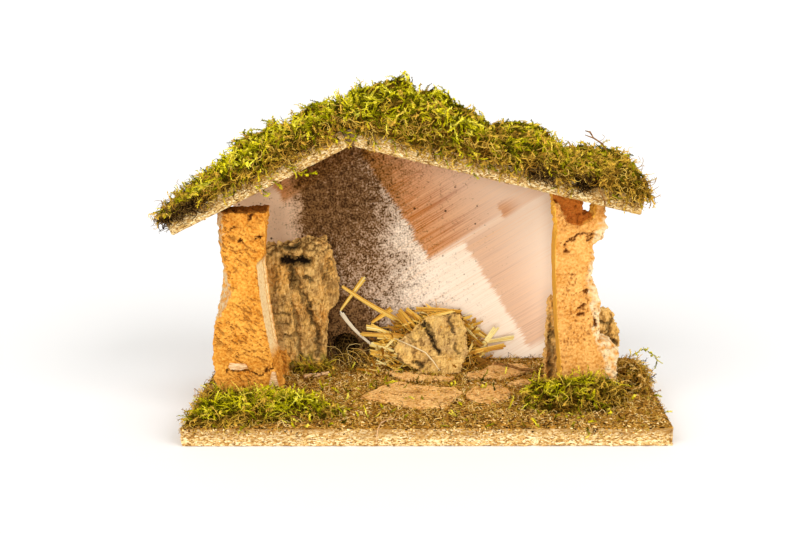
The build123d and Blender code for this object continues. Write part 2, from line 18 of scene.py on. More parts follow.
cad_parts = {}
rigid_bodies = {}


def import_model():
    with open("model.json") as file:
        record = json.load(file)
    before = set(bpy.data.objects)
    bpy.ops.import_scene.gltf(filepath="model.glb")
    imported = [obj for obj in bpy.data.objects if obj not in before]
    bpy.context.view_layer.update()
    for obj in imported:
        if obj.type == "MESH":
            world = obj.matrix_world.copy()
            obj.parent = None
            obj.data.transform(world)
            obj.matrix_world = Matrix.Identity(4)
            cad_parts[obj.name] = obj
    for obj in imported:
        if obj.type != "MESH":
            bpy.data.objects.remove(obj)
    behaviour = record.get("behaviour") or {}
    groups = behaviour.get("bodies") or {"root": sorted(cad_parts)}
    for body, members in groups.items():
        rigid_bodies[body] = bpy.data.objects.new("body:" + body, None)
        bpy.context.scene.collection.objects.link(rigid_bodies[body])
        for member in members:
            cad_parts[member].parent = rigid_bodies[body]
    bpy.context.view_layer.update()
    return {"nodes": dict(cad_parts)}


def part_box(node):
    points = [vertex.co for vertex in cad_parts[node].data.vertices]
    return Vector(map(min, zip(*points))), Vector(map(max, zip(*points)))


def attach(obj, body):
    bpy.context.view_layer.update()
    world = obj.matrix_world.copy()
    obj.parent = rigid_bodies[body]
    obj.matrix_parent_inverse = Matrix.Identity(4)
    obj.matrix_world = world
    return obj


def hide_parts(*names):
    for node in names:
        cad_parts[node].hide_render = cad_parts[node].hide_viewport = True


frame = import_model()

MM = 0.001
BODY = "root"
LOG = logging.getLogger("stable")

# Sizes that the solids were built with
BOARD_THICKNESS = 12.0
BASE_FRONT = -75.0
LEFT_PITCH = 26.0
RIGHT_PITCH = 14.0
GROUND = 13.2
PANEL_FRONT = 75.0
PANEL_MIDDLE = 77.0
ROOF_FRONT = -25.0
MANGER_LEFT = -24.4

# Kinds of node that the trees use most, some with the operation that they do
APART = "ShaderNodeSeparateXYZ"
CELLS = "ShaderNodeTexVoronoi"
MAPPING = "ShaderNodeMapping"
MARK = "ShaderNodeAttribute"
MATH = "ShaderNodeMath"
PLUS = MATH + " ADD"
MINUS = MATH + " SUBTRACT"
TIMES = MATH + " MULTIPLY"
TIMES_PLUS = MATH + " MULTIPLY_ADD"
LARGER = MATH + " MAXIMUM"
MIX = "ShaderNodeMixRGB"
NOISE = "ShaderNodeTexNoise"
RANDOM = "FunctionNodeRandomValue"
# Its inputs are a value, the two ends of a range, and what these ends become
RANGE = "ShaderNodeMapRange"
SHADES = "ShaderNodeValToRGB"
VECTORS = "ShaderNodeVectorMath"
VECTOR_PLUS = VECTORS + " ADD"
VECTOR_SCALED = VECTORS + " SCALE"

Mesh = bpy.types.Mesh
Node = bpy.types.Node
Piece = bpy.types.Object
Socket = bpy.types.NodeSocket
Tree = bpy.types.NodeTree
Values = np.ndarray
# A place, or a size along each axis
Spot = tuple[float, float, float]
# Corners of a line on the front view, as X and Z
Line = list[tuple[float, float]]
Inputs = dict[str | int, object]
# Colour and height of a finish
Paint = tuple[Socket, Socket]
# Height above a solid in millimetres, and the marks by name
Relief = tuple[Values, dict[str, Values]]
# Points, faces and each point's share of the way from root to tip
Parts = tuple[list[Vector], list[tuple[int, ...]], list[float]]


# Small tools


def linear(code: str) -> tuple[float, float, float, float]:
    """Turn an sRGB hex colour into linear red, green, blue and alpha.

    Args:
        code: six hex digits after a hash sign.

    Returns:
        The linear colour with full alpha.
    """
    shares = [int(code[start:start + 2], 16) / 255 for start in (1, 3, 5)]
    red, green, blue = (s / 12.92 if s <= 0.04045 else ((s + 0.055) / 1.055) ** 2.4 for s in shares)
    return red, green, blue, 1.0


def add(tree: Tree, kind: str, inputs: Inputs | None = None, **settings: object) -> Node:
    """Add a node to a tree with its settings and links.

    Args:
        tree: the shader or geometry tree.
        kind: the node's type name, and after a space the operation that it does.
        inputs: values, sockets or nodes by input name or number. Hex colours are turned to linear ones.
        settings: the node's own properties, and stops for a colour ramp as pairs of place and hex colour.

    Returns:
        The new node.
    """
    type_name, *operation = kind.split()
    node = tree.nodes.new(type_name)
    for word in operation:
        node.operation = word
    stops = settings.pop("stops", ())
    if stops:
        elements = node.color_ramp.elements
        elements.remove(elements[1])
        elements[0].position = stops[0][0]
        elements[0].color = linear(stops[0][1])
        for share, code in stops[1:]:
            elements.new(share).color = linear(code)
    for name, value in settings.items():
        setattr(node, name, value)
    for name, value in (inputs or {}).items():
        if isinstance(value, Node):
            value = value.outputs[0]
        if isinstance(value, Socket):
            tree.links.new(value, node.inputs[name])
        elif isinstance(value, str) and value.startswith("#"):
            node.inputs[name].default_value = linear(value)
        else:
            node.inputs[name].default_value = value
    return node


def repeats(size: float) -> float:
    """Scale of a pattern whose features are this many millimetres wide."""
    return 1 / (size * MM)


def cloud(points: Values, size: float | Spot, seed: int, octaves: int = 3) -> Values:
    """Cloudy values between about -1 and 1.

    Args:
        points: places in millimetres.
        size: width of a cloud in millimetres, or its width along each axis.
        seed: number that picks the cloud.
        octaves: how many finer layers are added up.

    Returns:
        One value for each point.
    """
    shifted = points / np.array(size) + np.array((7.31, 3.17, 1.73)) * (seed + 1)
    return np.array([noise.fractal(place, 1.0, 2.0, octaves) for place in shifted.tolist()])


def crease(points: Values, line: Line, width: float) -> Values:
    """Closeness to a line drawn on the front view.

    Args:
        points: places in millimetres.
        line: corners of the line as pairs of X and Z.
        width: distance at which the closeness ends.

    Returns:
        One value for each point, 1 on the line and 0 beyond the width.
    """
    flat = points[:, (0, 2)]
    nearest = np.full(len(flat), 1e9)
    for start, end in zip(line, line[1:]):
        along = np.subtract(end, start)
        share = np.clip((flat - start) @ along / (along @ along), 0, 1)
        nearest = np.minimum(nearest, np.linalg.norm(flat - (start + share[:, None] * along), axis=1))
    return np.clip(1 - nearest / width, 0, 1)


def cells(points: Values, size: float | Spot, seed: int) -> Values:
    """Distance from the gaps between irregular lumps.

    Args:
        points: places in millimetres.
        size: width of a lump in millimetres, or its width along each axis.
        seed: number that picks the lumps.

    Returns:
        One value for each point, 0 in a gap and about 1 in the middle of a lump.
    """
    shifted = points / np.array(size) + np.array((5.13, 2.71, 9.37)) * (seed + 1)
    nearest = np.array([noise.voronoi(place)[0][:2] for place in shifted.tolist()])
    return nearest[:, 1] - nearest[:, 0]


def turned(points: Values, degrees: float) -> Values:
    """Turn places about the Y axis, so that a stretched cloud runs aslant on the front view."""
    angle = math.radians(degrees)
    cosine, sine = math.cos(angle), math.sin(angle)
    return points @ np.array(((cosine, 0, sine), (0, 1, 0), (-sine, 0, cosine))).T


def ramp(values: Values, low: float, high: float) -> Values:
    """Run from 0 at low to 1 at high and stay there."""
    return np.clip((values - low) / (high - low), 0, 1)


def wavered(points: Values, height: float, size: float, seed: int) -> Values:
    """Shift places along each axis by clouds, so that lines drawn on them waver.

    Args:
        points: places in millimetres.
        height: how far a place may shift.
        size: width of a wave.
        seed: number that picks the clouds.

    Returns:
        The shifted places.
    """
    shifts = [height * cloud(points, size, seed + axis) for axis in range(3)]
    return points + np.stack(shifts, axis=1)


def deepest(layers: list[Values], count: int) -> Values:
    """The largest of several values at each of so many points, and 0 where there are none."""
    return np.maximum.reduce([np.zeros(count), *layers])


def read(mesh: Mesh, name: str) -> Values:
    """Read the vertices' places in millimetres, or their normals."""
    values = np.empty(len(mesh.vertices) * 3, np.float32)
    mesh.vertices.foreach_get(name, values)
    scale = 1 / MM if name == "co" else 1.0
    return values.reshape(-1, 3).astype(float) * scale


def write(mesh: Mesh, points: Values) -> None:
    """Write the vertices' places from millimetres."""
    mesh.vertices.foreach_set("co", (points * MM).astype(np.float32).ravel())
    mesh.update()


def store(mesh: Mesh, name: str, values: Values) -> None:
    """Keep one number for each vertex under a name that finishes read."""
    attribute = mesh.attributes.get(name) or mesh.attributes.new(name, "FLOAT", "POINT")
    attribute.data.foreach_set("value", values.astype(np.float32))


def plain(holder: Piece) -> Mesh:
    """Turn an object with modifiers into a plain mesh.

    Args:
        holder: the object, which loses its modifiers and takes the new mesh.

    Returns:
        The plain mesh.
    """
    graph = bpy.context.evaluated_depsgraph_get()
    finished = holder.evaluated_get(graph)
    made = bpy.data.meshes.new_from_object(finished, preserve_all_data_layers=True, depsgraph=graph)
    holder.modifiers.clear()
    holder.data = made
    return made


def box_corners(node: str) -> tuple[Values, Values]:
    """Lowest and highest corner of a solid in millimetres."""
    low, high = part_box(node)
    return np.array(low) / MM, np.array(high) / MM


def from_form(name: str, form: bmesh.types.BMesh) -> Mesh:
    """Turn a form into a mesh and free it."""
    mesh = bpy.data.meshes.new(name)
    form.to_mesh(mesh)
    form.free()
    return mesh


def place(name: str, mesh: Mesh) -> Piece:
    """Put a mesh into the scene as an object at the origin."""
    holder = bpy.data.objects.new(name, mesh)
    bpy.context.scene.collection.objects.link(holder)
    return holder


def skin(name: str, nodes: list[str], voxel: float) -> Piece:
    """Wrap copies of solids in one even skin.

    Args:
        name: the new object's name.
        nodes: the solids to copy.
        voxel: size of a face in millimetres.

    Returns:
        The skin as a plain object.
    """
    shell = bmesh.new()
    for node in nodes:
        shell.from_mesh(frame["nodes"][node].data)
    bmesh.ops.remove_doubles(shell, verts=shell.verts, dist=0.001 * MM)
    holder = place(name, from_form(name, shell))
    wrap = holder.modifiers.new("wrap", "REMESH")
    wrap.mode = "VOXEL"
    wrap.voxel_size = voxel * MM
    plain(holder)
    return holder


def from_faces(name: str, parts: Parts) -> Mesh:
    """Make a mesh from places in millimetres.

    Args:
        name: the mesh's name.
        parts: its points, its faces and each point's share of the way from root to tip.

    Returns:
        The mesh.
    """
    points, faces, along = parts
    mesh = bpy.data.meshes.new(name)
    mesh.from_pydata([point * MM for point in points], [], faces)
    store(mesh, "along", np.array(along))
    mesh.update()
    return mesh


def dress(mesh: Mesh, surface: "Surface") -> None:
    """Give a mesh its material."""
    mesh.materials.clear()
    mesh.materials.append(surface.value.material())


def settle(piece: Piece, surface: "Surface", slot: str, replaced: tuple[str, ...] = ()) -> Piece:
    """Give a finished piece its material and body, and hide the solids that it stands for.

    Args:
        piece: the object.
        surface: its finish.
        slot: the record's material slot; not used.
        replaced: the solids that it stands for.

    Returns:
        The piece.
    """
    dress(piece.data, surface)
    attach(piece, BODY)
    if replaced:
        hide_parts(*replaced)
    LOG.info("%s: %d faces", piece.name, len(piece.data.polygons))
    return piece


# Finishes


@dataclass(frozen=True)
class Finish:
    """A surface, named for what it is made of and how it was made."""

    name: str
    roughness: float = 0.85
    specular: float = 0.06
    # Height of the fine relief in millimetres, and how strongly it shows
    relief: float = 0.3
    bump: float = 0.8

    def material(self) -> bpy.types.Material:
        """Build the material the first time and return the same one after that.

        Returns:
            The material.
        """
        made = bpy.data.materials.get(self.name)
        if made:
            return made
        material = bpy.data.materials.new(self.name)
        material.use_nodes = True
        tree = material.node_tree
        surface = tree.nodes["Principled BSDF"]
        surface.inputs["Roughness"].default_value = self.roughness
        surface.inputs["Specular IOR Level"].default_value = self.specular
        self.tune(surface)
        spot = add(tree, "ShaderNodeTexCoord").outputs["Object"]
        colour, height = self.paint(tree, spot)
        tree.links.new(colour, surface.inputs["Base Color"])
        bump = add(tree, "ShaderNodeBump", {
            "Height": height, "Distance": self.relief * MM, "Strength": self.bump})
        tree.links.new(bump.outputs[0], surface.inputs["Normal"])
        return material

    def tune(self, surface: Node) -> None:
        """Set what is the same all over the surface."""

    def paint(self, tree: Tree, spot: Socket) -> Paint:
        """Lay out the colour and the fine relief.

        Args:
            tree: the material's tree.
            spot: the place on the object.

        Returns:
            The colour socket and the height socket.
        """
        raise NotImplementedError

    def overlay(self, tree: Tree, colour: Node, layers: dict[str, str]) -> Node:
        """Lay more colours over a colour, each where the mesh carries its mark.

        Args:
            tree: the material's tree.
            colour: the node that gives the colour below.
            layers: colours by the names of their marks, from the lowest up.

        Returns:
            The node that gives the colour on top.
        """
        for name, code in layers.items():
            mask = add(tree, MARK, attribute_name=name).outputs["Fac"]
            colour = add(tree, MIX, {0: mask, 1: colour, 2: code})
        return colour


def even_stops(shades: tuple[str, ...], margin: float) -> list[tuple[float, str]]:
    """Spread colours evenly over a ramp, with a margin at each end."""
    step = (1 - 2 * margin) / (len(shades) - 1)
    return [(margin + step * index, code) for index, code in enumerate(shades)]


@dataclass(frozen=True)
class Chipboard(Finish):
    """Pressed wood flakes, sawn: pale slivers lying along the board with brown ones and dark gaps between."""

    pitch: float = 0.0
    flake: Spot = (1.6, 1.6, 0.75)
    # Width of the bends in the flakes, and how far these shift them
    bend: float = 4.0
    shift: Spot = (2.0, 2.0, 1.6)
    shades: tuple[str, ...] = ("#8A6230", "#B58A4A", "#CCA460", "#DFC084", "#F2DCAA")
    gap: str = "#5A3A18"
    stain: str = "#7E5A26"

    def paint(self, tree: Tree, spot: Socket) -> Paint:
        """Flakes that lie flat in the board, tinted one by one, with dark gaps.

        Args:
            tree: the material's tree.
            spot: the place on the object.

        Returns:
            The colour socket and the height socket.
        """
        level = add(tree, MAPPING, {"Vector": spot, "Rotation": (0, math.radians(self.pitch), 0)})
        wavy = add(tree, NOISE, {"Vector": level, "Scale": repeats(self.bend)})
        shift = tuple(size * MM for size in self.shift)
        bent = add(tree, VECTORS + " MULTIPLY_ADD", {0: wavy.outputs["Color"], 1: shift, 2: level})
        stretched = add(tree, MAPPING, {"Vector": bent, "Scale": tuple(map(repeats, self.flake))})
        flakes = add(tree, CELLS, {"Vector": stretched, "Scale": 1.0})
        tint = add(tree, "ShaderNodeSeparateColor", {0: flakes.outputs["Color"]})
        wood = add(tree, SHADES, {0: tint}, stops=even_stops(self.shades, 0.03))
        fleck = add(tree, NOISE, {"Vector": stretched, "Scale": 0.9, "Detail": 4.0, "Roughness": 0.65})
        dark = add(tree, RANGE, {0: fleck, 1: 0.53, 2: 0.64, 3: 0.0, 4: 0.8})
        colour = add(tree, MIX, {0: dark, 1: wood, 2: self.gap})
        colour = self.overlay(tree, colour, {"stain": self.stain})
        height = add(tree, MINUS, {0: tint.outputs[1], 1: fleck})
        return colour.outputs[0], height.outputs[0]


@dataclass(frozen=True)
class BareWood:
    """A place where the brush lifted: start along the stroke, edges, length, how bare it starts and ends."""

    start: float
    low: float
    high: float
    reach: float
    first: float
    last: float


@dataclass(frozen=True)
class Whitewash(Finish):
    """Thin plywood: whitewash brushed aslant over orange wood, with a sprayed brown speckle at the left."""

    stroke_slant: float = 31.0
    # Real bristle marks are too fine to show, so they are drawn several times as wide
    bristle: Spot = (60.0, 20.0, 0.9)
    stroke: Spot = (90.0, 20.0, 9.0)
    bare: tuple[BareWood, ...] = (
        BareWood(51.0, 79.0, 230.0, 95.0, 1.0, 0.35), BareWood(81.0, -24.0, 79.0, 70.0, 0.6, 0.2),
        BareWood(117.0, 76.0, 90.0, 30.0, 0.85, 0.4), BareWood(-22.0, 176.0, 215.0, 40.0, 0.9, 0.5))
    wash: str = "#FAEAD4"
    smear: str = "#E2B88E"
    # Painted warm shade, laid over the wash towards the left
    warm_shade_tint: str = "#EAC096"
    wood: tuple[str, str] = ("#A85808", "#D88A2E")
    # The spray: its drops, the clumps and drifts of them, and single splashes
    drop: float = 1.5
    clump: float = 5.0
    drift: float = 22.0
    splash: float = 8.0
    spray: str = "#744A10"
    speck: str = "#2E1703"
    crumb: str = "#C8944C"
    # Height at which the spray reaches least far to the right
    narrow: float = 140.0
    # Middle of the denser spray round the hole, which darkens the panel there
    hole_spray: Spot = (-70.0, PANEL_FRONT, 32.0)
    ply: tuple[str, str, str] = ("#B98A56", "#D8B07A", "#E9CC9C")
    ply_grain: tuple[float, float] = (6.0, 90.0)

    def paint(self, tree: Tree, spot: Socket) -> Paint:
        """Strokes, bare patches and speckle on the front, bare ply at the back.

        Args:
            tree: the material's tree.
            spot: the place on the object.

        Returns:
            The colour socket and the height socket.
        """
        strokes = add(tree, MAPPING, {"Vector": spot, "Rotation": (0, math.radians(self.stroke_slant), 0)})
        hairs = add(tree, MAPPING, {"Vector": strokes, "Scale": tuple(map(repeats, self.bristle))})
        hair = add(tree, NOISE, {"Vector": hairs, "Scale": 1.0, "Detail": 4.0, "Roughness": 0.6})
        broad = add(tree, MAPPING, {"Vector": strokes, "Scale": tuple(map(repeats, self.stroke))})
        sweep = add(tree, NOISE, {"Vector": broad, "Scale": 1.0, "Detail": 2.0})
        apart = add(tree, APART, {0: spot}).outputs
        # The wash, smeared by the bristles, with painted warm shade towards the left, where the orange post
        # throws its light
        smear = add(tree, RANGE, {0: hair, 1: 0.45, 2: 0.75})
        smear = add(tree, TIMES, {0: smear, 1: sweep})
        wash = add(tree, MIX, {0: smear, 1: self.wash, 2: self.smear})
        warm_shade = add(tree, RANGE, {0: apart["X"], 1: -20 * MM, 2: -90 * MM, 3: 0.0, 4: 0.75})
        wash = add(tree, MIX, {0: warm_shade, 1: wash, 2: self.warm_shade_tint})
        # Orange wood where the brush lifted
        bare = self.bare_wood(tree, strokes, hair, sweep)
        streak = add(tree, RANGE, {0: hair, 1: 0.28, 2: 0.72})
        wood = add(tree, MIX, {0: streak, 1: self.wood[0], 2: self.wood[1]})
        front = add(tree, MIX, {0: bare, 1: wash, 2: wood})
        for mask, code in zip(self.speckle(tree, spot), (self.spray, self.speck, self.crumb)):
            front = add(tree, MIX, {0: mask, 1: front, 2: code})
        # Upright grain on the bare back
        across, along = map(repeats, self.ply_grain)
        rows = add(tree, MAPPING, {"Vector": spot, "Scale": (across, 1.0, along)})
        grain = add(tree, NOISE, {"Vector": rows, "Scale": 1.0, "Detail": 5.0, "Distortion": 0.6})
        ply = add(tree, SHADES, {0: grain}, stops=tuple(zip((0.3, 0.5, 0.7), self.ply)))
        is_back = add(tree, MATH + " GREATER_THAN", {0: apart["Y"], 1: (PANEL_FRONT + 0.3) * MM})
        colour = add(tree, MIX, {0: is_back, 1: front, 2: ply})
        return colour.outputs[0], hair.outputs[0]

    def bare_wood(self, tree: Tree, strokes: Node, hair: Node, sweep: Node) -> Node:
        """Places where the brush lifted, ragged where each stroke starts.

        Args:
            tree: the material's tree.
            strokes: the place along and across the strokes.
            hair: the bristles' pattern.
            sweep: the pattern of the broad strokes.

        Returns:
            The node whose value says how bare a place is.
        """
        apart = add(tree, APART, {0: strokes}).outputs
        along = add(tree, TIMES_PLUS, {0: sweep, 1: 7 * MM, 2: apart["X"]})
        along = add(tree, TIMES_PLUS, {0: hair, 1: 13 * MM, 2: along})
        across = add(tree, TIMES_PLUS, {0: hair, 1: 8 * MM, 2: apart["Z"]})
        bare = None
        for lift in self.bare:
            patch = add(tree, RANGE, {0: along, 1: (lift.start + 8) * MM, 2: (lift.start + 11) * MM})
            fade = add(tree, RANGE, {0: along, 1: (lift.start + 12) * MM, 2: (lift.start + lift.reach) * MM,
                                     3: lift.first, 4: lift.last}, interpolation_type="SMOOTHSTEP")
            above = add(tree, RANGE, {0: across, 1: (lift.low + 2) * MM, 2: (lift.low + 7) * MM})
            below = add(tree, RANGE, {0: across, 1: lift.high * MM, 2: (lift.high + 9) * MM, 3: 1.0, 4: 0.0})
            for mask in (fade, above, below):
                patch = add(tree, TIMES, {0: patch, 1: mask})
            bare = patch if bare is None else add(tree, LARGER, {0: bare, 1: patch})
        streak = add(tree, RANGE, {0: hair, 1: 0.34, 2: 0.66, 3: 1.0, 4: 0.72})
        return add(tree, TIMES, {0: bare, 1: streak})

    def speckle(self, tree: Tree, spot: Socket) -> tuple[Node, Node, Node]:
        """Brown spray, dense at the left of the panel and thin at its right.

        Args:
            tree: the material's tree.
            spot: the place on the object.

        Returns:
            The nodes whose values say how brown, how specked and how strewn with pale crumbs a place is.
        """
        apart = add(tree, APART, {0: spot}).outputs
        drift = add(tree, NOISE, {"Vector": spot, "Scale": repeats(self.drift), "Detail": 5.0})
        # Thinner towards the right, most of all at the narrow height
        level = add(tree, MINUS, {0: apart["Z"], 1: self.narrow * MM})
        level = add(tree, MATH + " ABSOLUTE", {0: level})
        lean = add(tree, TIMES_PLUS, {0: level, 1: -0.28, 2: apart["X"]})
        across = add(tree, TIMES_PLUS, {0: drift, 1: 50 * MM, 2: lean})
        right = add(tree, RANGE, {0: across, 1: -42 * MM, 2: 34 * MM, 3: 1.0, 4: 0.26},
                    interpolation_type="SMOOTHSTEP")
        far = add(tree, RANGE, {0: across, 1: 34 * MM, 2: 100 * MM, 3: 0.0, 4: 0.26})
        dense = add(tree, MINUS, {0: right, 1: far})
        # Thinner at the left end, near the ground and under the roof
        edge = add(tree, TIMES_PLUS, {0: drift, 1: 24 * MM, 2: apart["X"]})
        left = add(tree, RANGE, {0: edge, 1: -98 * MM, 2: -78 * MM, 3: 0.22, 4: 1.0})
        low = add(tree, RANGE, {0: apart["Z"], 1: 20 * MM, 2: 130 * MM, 3: 0.5, 4: 1.0})
        high = add(tree, RANGE, {0: apart["Z"], 1: 150 * MM, 2: 195 * MM, 3: 1.0, 4: 0.8})
        for mask in (left, low, high):
            dense = add(tree, TIMES, {0: dense, 1: mask})
        # Denser spray round the hole, darker towards it
        middle = tuple(size * MM for size in self.hole_spray)
        away = add(tree, VECTORS + " DISTANCE", {0: spot, 1: middle}).outputs["Value"]
        hole_spray = add(tree, RANGE, {0: away, 1: 14 * MM, 2: 46 * MM, 3: 0.6, 4: 0.0},
                    interpolation_type="SMOOTHSTEP")
        dense = add(tree, PLUS, {0: dense, 1: hole_spray})
        # Drops that stand in clumps, as a brown veil, dark specks and pale crumbs
        clumps = add(tree, NOISE, {"Vector": spot, "Scale": repeats(self.clump), "Detail": 3.0})
        drops = add(tree, NOISE, {"Vector": spot, "Scale": repeats(self.drop), "Detail": 2.0})
        mixed = add(tree, TIMES, {0: drops, 1: 0.6})
        mixed = add(tree, TIMES_PLUS, {0: clumps, 1: 0.4, 2: mixed})
        grainy = add(tree, TIMES_PLUS, {0: mixed, 1: 1.9, 2: dense})
        veil = add(tree, RANGE, {0: grainy, 1: 1.25, 2: 1.8, 3: 0.0, 4: 0.92})
        bar = add(tree, RANGE, {0: dense, 1: 0.0, 2: 1.0, 3: 0.67, 4: 0.44})
        over = add(tree, MINUS, {0: mixed, 1: bar})
        speck = add(tree, RANGE, {0: over, 1: 0.0, 2: 0.13, 3: 0.0, 4: 0.9})
        crumb = add(tree, RANGE, {0: over, 1: -0.06, 2: -0.16, 3: 0.0, 4: 0.6})
        crumb = add(tree, TIMES, {0: crumb, 1: veil})
        # Single round splashes, each of its own size
        splashes = add(tree, CELLS, {"Vector": spot, "Scale": repeats(self.splash)}).outputs
        chance = add(tree, "ShaderNodeSeparateColor", {0: splashes["Color"]})
        reach = add(tree, RANGE, {0: chance, 1: 0.4, 2: 1.0, 3: 0.0, 4: 0.2})
        inside = add(tree, MINUS, {0: reach, 1: splashes["Distance"]})
        splash = add(tree, RANGE, {0: inside, 1: 0.0, 2: 0.04, 3: 0.0, 4: 0.85})
        near = add(tree, RANGE, {0: dense, 1: 0.06, 2: 0.16})
        splash = add(tree, TIMES, {0: splash, 1: near})
        speck = add(tree, LARGER, {0: speck, 1: splash})
        return veil, speck, crumb


@dataclass(frozen=True)
class Cork(Finish):
    """Cut cork bark: orange grains with dark pits, a pale fresh cut and a grey-white rind outside."""

    deep: str = "#C0771F"
    light: str = "#EDAE4C"
    pit: str = "#6E3A0C"
    fresh: str = "#F7D593"
    rind: str = "#CDB78E"
    inside: str = "#C06A1C"
    grain: float = 1.6
    patch: float = 14.0

    def paint(self, tree: Tree, spot: Socket) -> Paint:
        """Grains, then the cut, the rind and the pits that the mesh carries.

        Args:
            tree: the material's tree.
            spot: the place on the object.

        Returns:
            The colour socket and the height socket.
        """
        grains = add(tree, NOISE, {"Vector": spot, "Scale": repeats(self.grain), "Detail": 4.0})
        broad = add(tree, NOISE, {"Vector": spot, "Scale": repeats(self.patch), "Detail": 2.0})
        mixed = add(tree, TIMES, {0: grains, 1: 0.65})
        mixed = add(tree, TIMES_PLUS, {0: broad, 1: 0.35, 2: mixed})
        share = add(tree, RANGE, {0: mixed, 1: 0.36, 2: 0.64})
        colour = add(tree, MIX, {0: share, 1: self.deep, 2: self.light})
        layers = {"pale": self.fresh, "rind": self.rind, "inside": self.inside, "pit": self.pit}
        return self.overlay(tree, colour, layers).outputs[0], grains.outputs[0]


@dataclass(frozen=True)
class Bark(Finish):
    """Dry outer bark: grey and ochre plates with fine cross lines, painted shade in its grooves and black
    clefts, and painted highlight on its ridges.
    """

    plate: str = "#D6A658"
    edge: str = "#EEC478"
    grey: str = "#B0864A"
    # Colours of the painted shade in the clefts and the grooves
    cleft_shade: str = "#1C1108"
    groove: str = "#62441E"
    green: str = "#6F6A22"
    warm: str = "#D08C34"
    dark_line: str = "#54340F"
    pale_line: str = "#EECB86"
    # How dark and how pale the grain's lines show
    lines: tuple[float, float] = (0.85, 0.6)
    # Widths of the plates, of the warm patches and of the grain, which is coarser than real so that it shows
    plate_size: float = 11.0
    patch: float = 24.0
    grain: Spot = (1.5, 1.5, 5.0)

    def paint(self, tree: Tree, spot: Socket) -> Paint:
        """Plates in two tones, fine grain, then the broken edges, clefts and green that the mesh carries.

        Args:
            tree: the material's tree.
            spot: the place on the object.

        Returns:
            The colour socket and the height socket.
        """
        broad = add(tree, NOISE, {"Vector": spot, "Scale": repeats(self.plate_size), "Detail": 4.0})
        share = add(tree, RANGE, {0: broad, 1: 0.38, 2: 0.62})
        colour = add(tree, MIX, {0: share, 1: self.grey, 2: self.plate})
        patch = add(tree, NOISE, {"Vector": spot, "Scale": repeats(self.patch), "Detail": 3.0})
        patch = add(tree, RANGE, {0: patch, 1: 0.48, 2: 0.62, 3: 0.0, 4: 0.6})
        colour = add(tree, MIX, {0: patch, 1: colour, 2: self.warm})
        rows = add(tree, MAPPING, {"Vector": spot, "Scale": tuple(map(repeats, self.grain))})
        lines = add(tree, NOISE, {"Vector": rows, "Scale": 1.0, "Detail": 4.0, "Roughness": 0.65})
        dark = add(tree, RANGE, {0: lines, 1: 0.5, 2: 0.68, 3: 0.0, 4: self.lines[0]})
        colour = add(tree, MIX, {0: dark, 1: colour, 2: self.dark_line})
        pale = add(tree, RANGE, {0: lines, 1: 0.46, 2: 0.32, 3: 0.0, 4: self.lines[1]})
        colour = add(tree, MIX, {0: pale, 1: colour, 2: self.pale_line})
        layers = {"pale": self.edge, "groove": self.groove, "green": self.green, "pit": self.cleft_shade}
        return self.overlay(tree, colour, layers).outputs[0], lines.outputs[0]


@dataclass(frozen=True)
class Tinted(Finish):
    """Bits that differ one by one: each takes a colour from a row of shades, with painted shade darkening it
    towards its root.
    """

    shades: tuple[str, ...] = ("#6B4A20", "#C69A55")
    # How dark each bit is painted at its root: painted shade where the bits shade each other
    painted_root_shade: float = 0.45
    dry_shades: tuple[str, str] = ("#8A5F22", "#CFA557")
    dryness: float = 0.0
    # Real fibres are too fine to show, so they are drawn about ten times as wide
    fibre: float = 0.8
    # Width of the clumps that share a shade, and how much of the shade they settle
    clump: float = 9.0
    clumped: float = 0.0

    def paint(self, tree: Tree, spot: Socket) -> Paint:
        """Pick the shade by the bit's own number, dry it where the patch is dry, and paint shade at the root.

        Args:
            tree: the material's tree.
            spot: the place on the object.

        Returns:
            The colour socket and the height socket.
        """
        tint, along = (add(tree, MARK, attribute_name=name).outputs["Fac"] for name in ("tint", "along"))
        pick = tint
        if self.clumped:
            clumps = add(tree, NOISE, {"Vector": spot, "Scale": repeats(self.clump), "Detail": 2.0})
            clumps = add(tree, RANGE, {0: clumps, 1: 0.34, 2: 0.66, 3: -self.clumped, 4: self.clumped})
            pick = add(tree, PLUS, {0: tint, 1: clumps})
        colour = add(tree, SHADES, {0: pick}, stops=even_stops(self.shades, 0.02))
        if self.dryness:
            dry = add(tree, MARK, attribute_name="dry").outputs["Fac"]
            dry = add(tree, TIMES_PLUS, {0: tint, 1: 0.7, 2: dry})
            dry = add(tree, RANGE, {0: dry, 1: 0.6, 2: 0.95, 3: 0.0, 4: self.dryness})
            dead = add(tree, MIX, {0: tint, 1: self.dry_shades[0], 2: self.dry_shades[1]})
            colour = add(tree, MIX, {0: dry, 1: colour, 2: dead})
        # Painted shade: darker towards the root
        painted_shade = add(tree, RANGE, {0: along, 1: 0.0, 2: 0.6, 3: self.painted_root_shade, 4: 1.0})
        colour = add(tree, MIX, {0: 1.0, 1: colour, 2: painted_shade}, blend_type="MULTIPLY")
        fine = add(tree, NOISE, {"Vector": spot, "Scale": repeats(self.fibre), "Detail": 2.0})
        return colour.outputs[0], fine.outputs[0]


